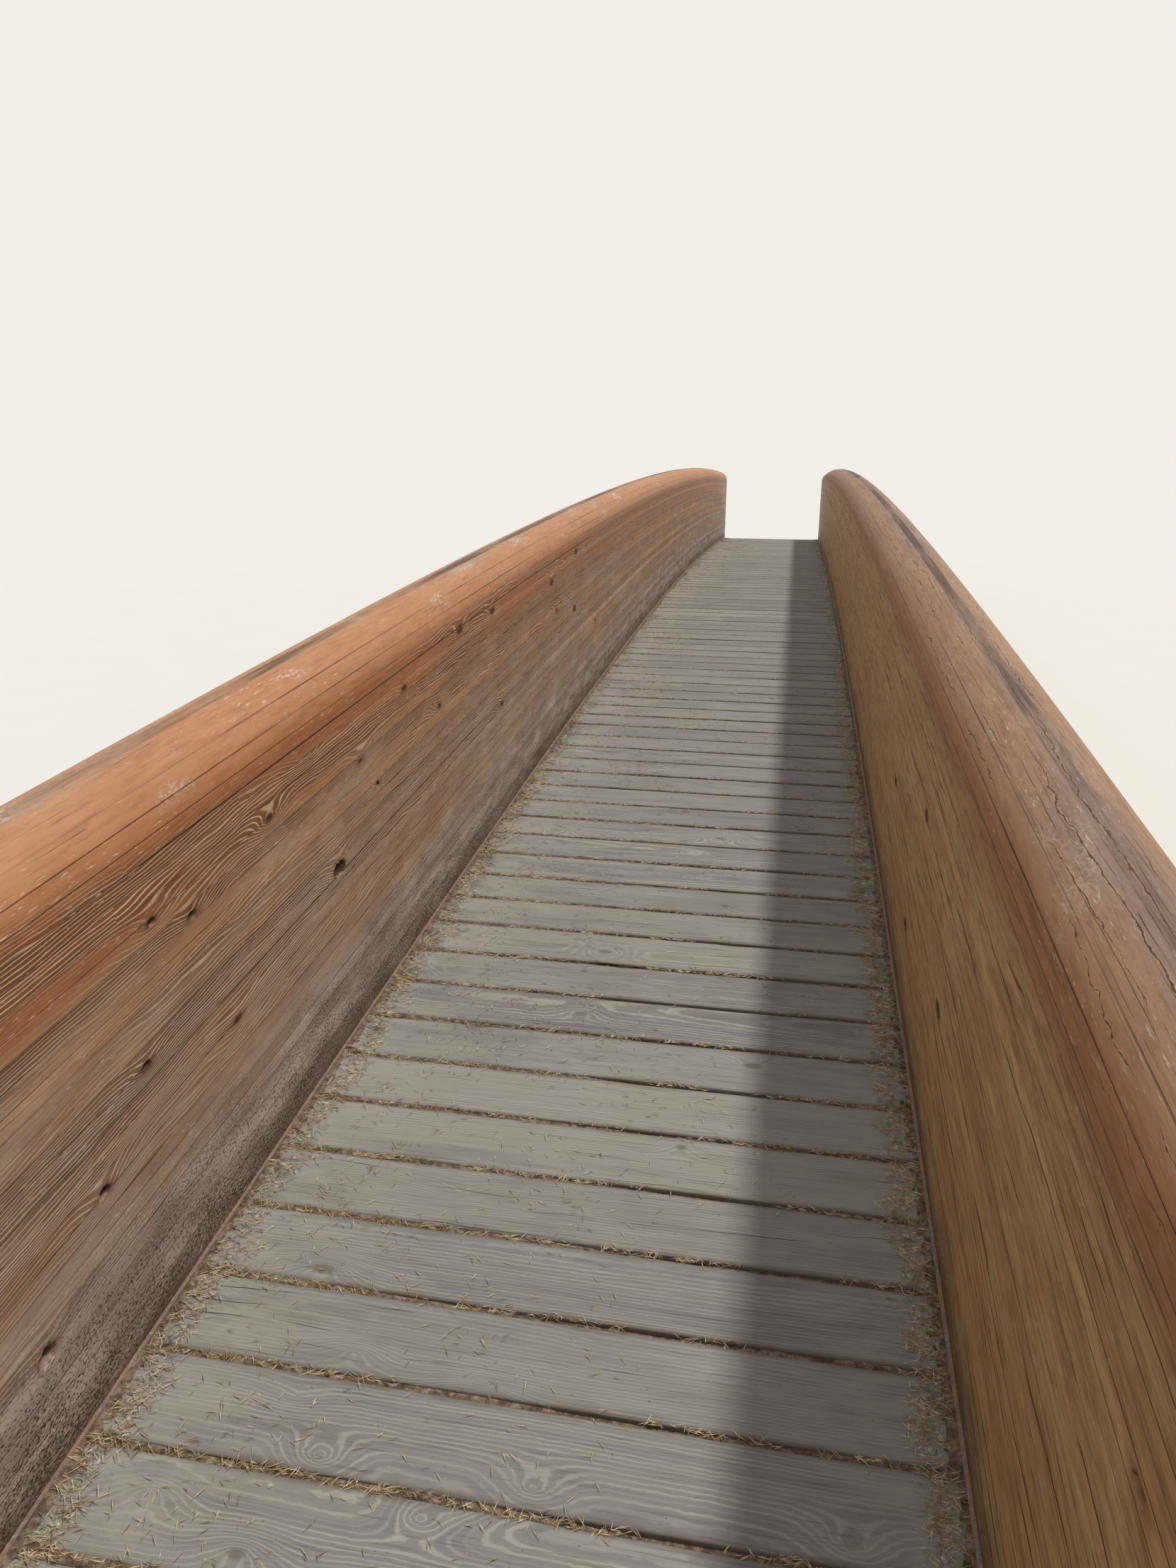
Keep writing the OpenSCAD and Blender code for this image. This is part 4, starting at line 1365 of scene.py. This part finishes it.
def litter_bed(joint):
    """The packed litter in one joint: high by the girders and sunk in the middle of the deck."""
    # It reaches 6 mm under the edge of each plank
    gap = PLANK_PITCH - PLANK_WIDTH + 0.012
    bm = slab((1.50, gap), (56 if joint < NEAR_JOINTS else 24, 4), 0.006)
    for v in bm.verts:
        bump = noise.noise((v.co.x * 11, joint * 3.7, v.co.y * 50))
        patch = noise.noise((v.co.x * 2.1, joint * 9.1, 2.0))
        to_side = smooth(0.25, 0.70, abs(v.co.x))
        left = 0.0060 * smooth(0.25, -0.25, v.co.x)
        top = -0.0120 + 0.0060 * to_side + left + 0.0034 * bump + 0.006 * patch
        v.co.z += min(top, 0.0018) - 0.0030 * smooth(gap * 0.30, gap * 0.5, abs(v.co.y))
    return bm


def litter_edge(side):
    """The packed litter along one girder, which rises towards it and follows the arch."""
    bm = slab((DECK_LENGTH - 0.004, 0.050), (2600, 6), 0.010)
    for v in bm.verts:
        along, across = v.co.x, side * v.co.y
        out = 0.025 + v.co.y
        rise = noise.noise((along * 48, side * 4, out * 70)) * 0.0060
        rise += noise.noise((along * 12, side * 9, out * 30)) * 0.0035
        rise += noise.noise((along * 1.7, side * 7, 0)) * 0.0035
        top = min(-0.0065 + 0.0085 * smooth(0.0, 0.045, out) + rise, 0.005)
        v.co = arc_frame(along) @ Vector((across + side * (GIRDER_INNER - 0.0300), 0, top + v.co.z))
    bmesh.ops.recalc_face_normals(bm, faces=bm.faces)
    return bm


class FOOTBRIDGE_OT_litter(bpy.types.Operator):
    """Packs dry needle litter into the joints of the deck and along its edges"""
    bl_idname = "footbridge.litter"
    bl_label = "Add Litter"

    def execute(self, context):
        settings = context.scene.footbridge_litter
        packed = needle_litter("packed_needle_litter", ("#4C4035", "#736252", "#95836F"))
        dry = needle_litter("dry_needles", ("#8C7259", "#C0AB88", "#E2D3B2"))
        chance = random.Random(SEED + 9)
        beds = bmesh.new()
        for joint in range(1, PLANKS):
            place_copies(beds, litter_bed(joint), [arc_frame(joint_at(joint))])
        for side in (-1, 1):
            place_copies(beds, litter_edge(side), [Matrix.Identity(4)])
        finish_piece("packed_litter", beds, packed, angle=1.5)

        # Tufts lie along the joints, thick near the girders, and along both edges of the deck
        count = settings.tuft_needles
        joint_tufts = [needle_tuft(chance, count, (0.15, 0.020), settings) for i in range(9)]
        edge_tufts = [needle_tuft(chance, count, (0.055, 0.13), settings) for i in range(9)]
        loose_tufts = [needle_tuft(chance, 9, (0.30, 0.20), settings) for i in range(12)]
        places = {"near": [], "far": []}

        def strew(tufts, along, across, above, turn):
            where = arc_frame(along, above, across) @ Matrix.Rotation(turn, 4, "Z")
            places["near" if along < NEEDLES_SPLIT else "far"].append((chance.choice(tufts), where))

        for joint in range(1, PLANKS):
            along = joint_at(joint)
            far = smooth(*NEEDLES_THIN, along)
            x = -JOINT_REACH
            while x < JOINT_REACH:
                crowd = 0.55 + 0.45 * smooth(0.15, -0.5, x) + 0.3 * smooth(0.5, 0.72, x) - 0.62 * far
                if chance.random() < crowd:
                    turn = chance.choice((0, math.pi)) + chance.uniform(-0.04, 0.04)
                    strew(joint_tufts, along + chance.uniform(-0.004, 0.004), x, -0.0022, turn)
                x += chance.uniform(0.08, 0.12)
        for side in (-1, 1):
            along = joint_at(0) + 0.06
            while along < DECK_LENGTH / 2 - 0.06:
                far = smooth(*NEEDLES_THIN, along)
                if chance.random() < 1.0 - 0.55 * far:
                    inset = 0.026 + abs(chance.gauss(0, 0.026))
                    across = side * (GIRDER_INNER - inset - 0.012)
                    strew(edge_tufts, along, across, 0.0015, chance.choice((0, math.pi)))
                along += chance.uniform(0.013, 0.029) * (1 + 2.2 * far)
        # Loose needles: most lie on the left of the near half
        for i in range(LOOSE_TUFTS):
            along = -DECK_LENGTH / 2 + 0.1 + 8.5 * chance.random() ** 1.2 + (chance.random() < 0.25) * 9
            if along > DECK_LENGTH / 2 - 0.2:
                continue
            across = -0.60 + 1.22 * chance.random() ** 2.2
            strew(loose_tufts, along, across, 0.0, chance.uniform(-3, 3))
        for zone, found in places.items():
            bm = bmesh.new()
            for tuft, where in found:
                place_copy(bm, tuft, where)
            finish_piece(f"dry_needles_{zone}", bm, dry, angle=1.5)
        for tuft in joint_tufts + edge_tufts + loose_tufts:
            bpy.data.meshes.remove(tuft)
        return {"FINISHED"}


# Stage

class FOOTBRIDGE_PG_stage(bpy.types.PropertyGroup):
    key_strength: FloatProperty(
        name="Key Strength", description="Strength of the soft sun", default=2.3, min=0.0, max=6.0
    )
    fill_strength: FloatProperty(
        name="Fill Strength", description="Strength of the even light from all round", default=0.55,
        min=0.0, max=2.0,
    )
    key_angle: FloatProperty(
        name="Key Size", description="Angle that the soft sun fills, which softens its shadows",
        default=math.radians(4.5), min=0.0, max=math.pi, subtype="ANGLE",
    )
    key_lean: FloatProperty(
        name="Key Lean", description="Angle from upright that the light leans to the right",
        default=math.radians(23), min=0.0, max=math.pi / 2, subtype="ANGLE",
    )
    key_ahead: FloatProperty(
        name="Key Ahead", description="Angle from upright that the light leans along the bridge",
        default=math.radians(14), min=-math.pi / 2, max=math.pi / 2, subtype="ANGLE",
    )
    camera_place: FloatVectorProperty(
        name="Camera Place", description="Where the camera stands, above the near half of the deck",
        default=(0.385, -8.566, 2.440), size=3, subtype="TRANSLATION",
    )
    camera_yaw: FloatProperty(
        name="Camera Yaw", description="Turn to the left of the bridge's line", default=0.18783,
        subtype="ANGLE",
    )
    camera_pitch: FloatProperty(
        name="Camera Pitch", description="Tilt down from the deck's slope under the camera",
        default=0.37970, subtype="ANGLE",
    )
    camera_climb: FloatProperty(
        name="Camera Climb", description="Slope of the deck under the camera", default=0.05737,
        subtype="ANGLE",
    )
    camera_lens: FloatProperty(
        name="Camera Lens", description="Focal length on a 36 mm long side", default=24.97,
        min=10, max=100, unit="CAMERA",
    )


class FOOTBRIDGE_OT_stage(bpy.types.Operator):
    """Sets up the pale floor, the soft studio light and the camera"""
    bl_idname = "footbridge.stage"
    bl_label = "Set the Stage"

    def execute(self, context):
        settings = context.scene.footbridge_stage
        scene = context.scene
        # Matt pale floor: the eye gets a plain ground that keeps the bridge's shadow
        material, tree = new_material("matt_floor")
        grain = stretched_noise(
            tree, add(tree, "TexCoord").outputs["Object"], (1.5, 1.5, 1.5), 2.0, 0.5
        )
        base = coated(tree, srgb("#DEDCD8"), [(grain, srgb("#E1DFDB"), "MIX")])
        surface(tree, base, 0.95, grain, depth=0.0001, specular=0.1)
        bm = bmesh.new()
        bmesh.ops.create_grid(bm, x_segments=4, y_segments=4, size=300)
        mesh = bpy.data.meshes.new("floor")
        bm.to_mesh(mesh)
        bm.free()
        mesh.materials.append(material)
        floor = bpy.data.objects.new("floor", mesh)
        scene.collection.objects.link(floor)

        world = bpy.data.worlds.new("studio")
        scene.world = world
        world.use_nodes = True
        tree = world.node_tree
        tree.nodes.clear()
        rays = add(tree, "LightPath").outputs
        seen = add(tree, "Math", (rays["Is Camera Ray"], rays["Is Glossy Ray"]), operation="MAXIMUM")
        seen = add(tree, "Math", (seen, rays["Is Transmission Ray"]), operation="MAXIMUM")
        light = add(tree, "Background", (srgb("#FDFEFF"), settings.fill_strength))
        backdrop = add(tree, "Background", (srgb("#F2EFE8"), 1.0))
        mixed = add(tree, "MixShader", (seen, light, backdrop))
        add(tree, "OutputWorld", {"Surface": mixed})

        sun = bpy.data.lights.new("soft_key", "SUN")
        sun.energy = settings.key_strength
        sun.angle = settings.key_angle
        sun.color = srgb("#FFFBF5")[:3]
        lamp = bpy.data.objects.new("soft_key", sun)
        toward = Vector((math.tan(settings.key_lean), math.tan(settings.key_ahead), 1.0))
        lamp.rotation_euler = toward.to_track_quat("Z", "Y").to_euler()
        lamp.location = toward.normalized() * 20
        scene.collection.objects.link(lamp)

        yaw, pitch = settings.camera_yaw, settings.camera_pitch
        level = Vector((-math.sin(yaw), math.cos(yaw), 0)) * math.cos(pitch)
        ahead = level - Vector((0, 0, math.sin(pitch)))
        ahead = Matrix.Rotation(settings.camera_climb, 3, "X") @ ahead
        camera = bpy.data.objects.new("camera", bpy.data.cameras.new("camera"))
        camera.data.lens = settings.camera_lens
        camera.data.sensor_width = 36
        camera.data.clip_start = 0.05
        camera.data.clip_end = 1000
        camera.location = settings.camera_place
        camera.rotation_euler = ahead.to_track_quat("-Z", "Y").to_euler()
        scene.collection.objects.link(camera)
        scene.camera = camera
        scene.view_settings.view_transform = "Standard"
        return {"FINISHED"}


class FOOTBRIDGE_PT_panel(bpy.types.Panel):
    bl_idname = "FOOTBRIDGE_PT_panel"
    bl_label = "Footbridge"
    bl_space_type = "VIEW_3D"
    bl_region_type = "UI"
    bl_category = "Footbridge"

    def draw(self, context):
        for part in ("girders", "deck", "steel", "sills", "litter", "stage"):
            box = self.layout.box()
            settings = getattr(context.scene, "footbridge_" + part, None)
            for name in settings.__annotations__ if settings else ():
                box.prop(settings, name)
            box.operator("footbridge." + part)


CLASSES = (
    FOOTBRIDGE_PG_girders,
    FOOTBRIDGE_PG_deck,
    FOOTBRIDGE_PG_steel,
    FOOTBRIDGE_PG_litter,
    FOOTBRIDGE_PG_stage,
    FOOTBRIDGE_OT_girders,
    FOOTBRIDGE_OT_deck,
    FOOTBRIDGE_OT_steel,
    FOOTBRIDGE_OT_sills,
    FOOTBRIDGE_OT_litter,
    FOOTBRIDGE_OT_stage,
    FOOTBRIDGE_PT_panel,
)
SETTINGS = {
    "footbridge_girders": FOOTBRIDGE_PG_girders,
    "footbridge_deck": FOOTBRIDGE_PG_deck,
    "footbridge_steel": FOOTBRIDGE_PG_steel,
    "footbridge_litter": FOOTBRIDGE_PG_litter,
    "footbridge_stage": FOOTBRIDGE_PG_stage,
}


def register():
    for cls in CLASSES:
        bpy.utils.register_class(cls)
    for name, group in SETTINGS.items():
        setattr(bpy.types.Scene, name, PointerProperty(type=group))


def unregister():
    for name in SETTINGS:
        delattr(bpy.types.Scene, name)
    for cls in reversed(CLASSES):
        bpy.utils.unregister_class(cls)


def main():
    register()
    bpy.ops.footbridge.girders()
    bpy.ops.footbridge.deck()
    bpy.ops.footbridge.steel()
    bpy.ops.footbridge.sills()
    bpy.ops.footbridge.litter()
    bpy.ops.footbridge.stage()


if __name__ == "__main__":
    main()
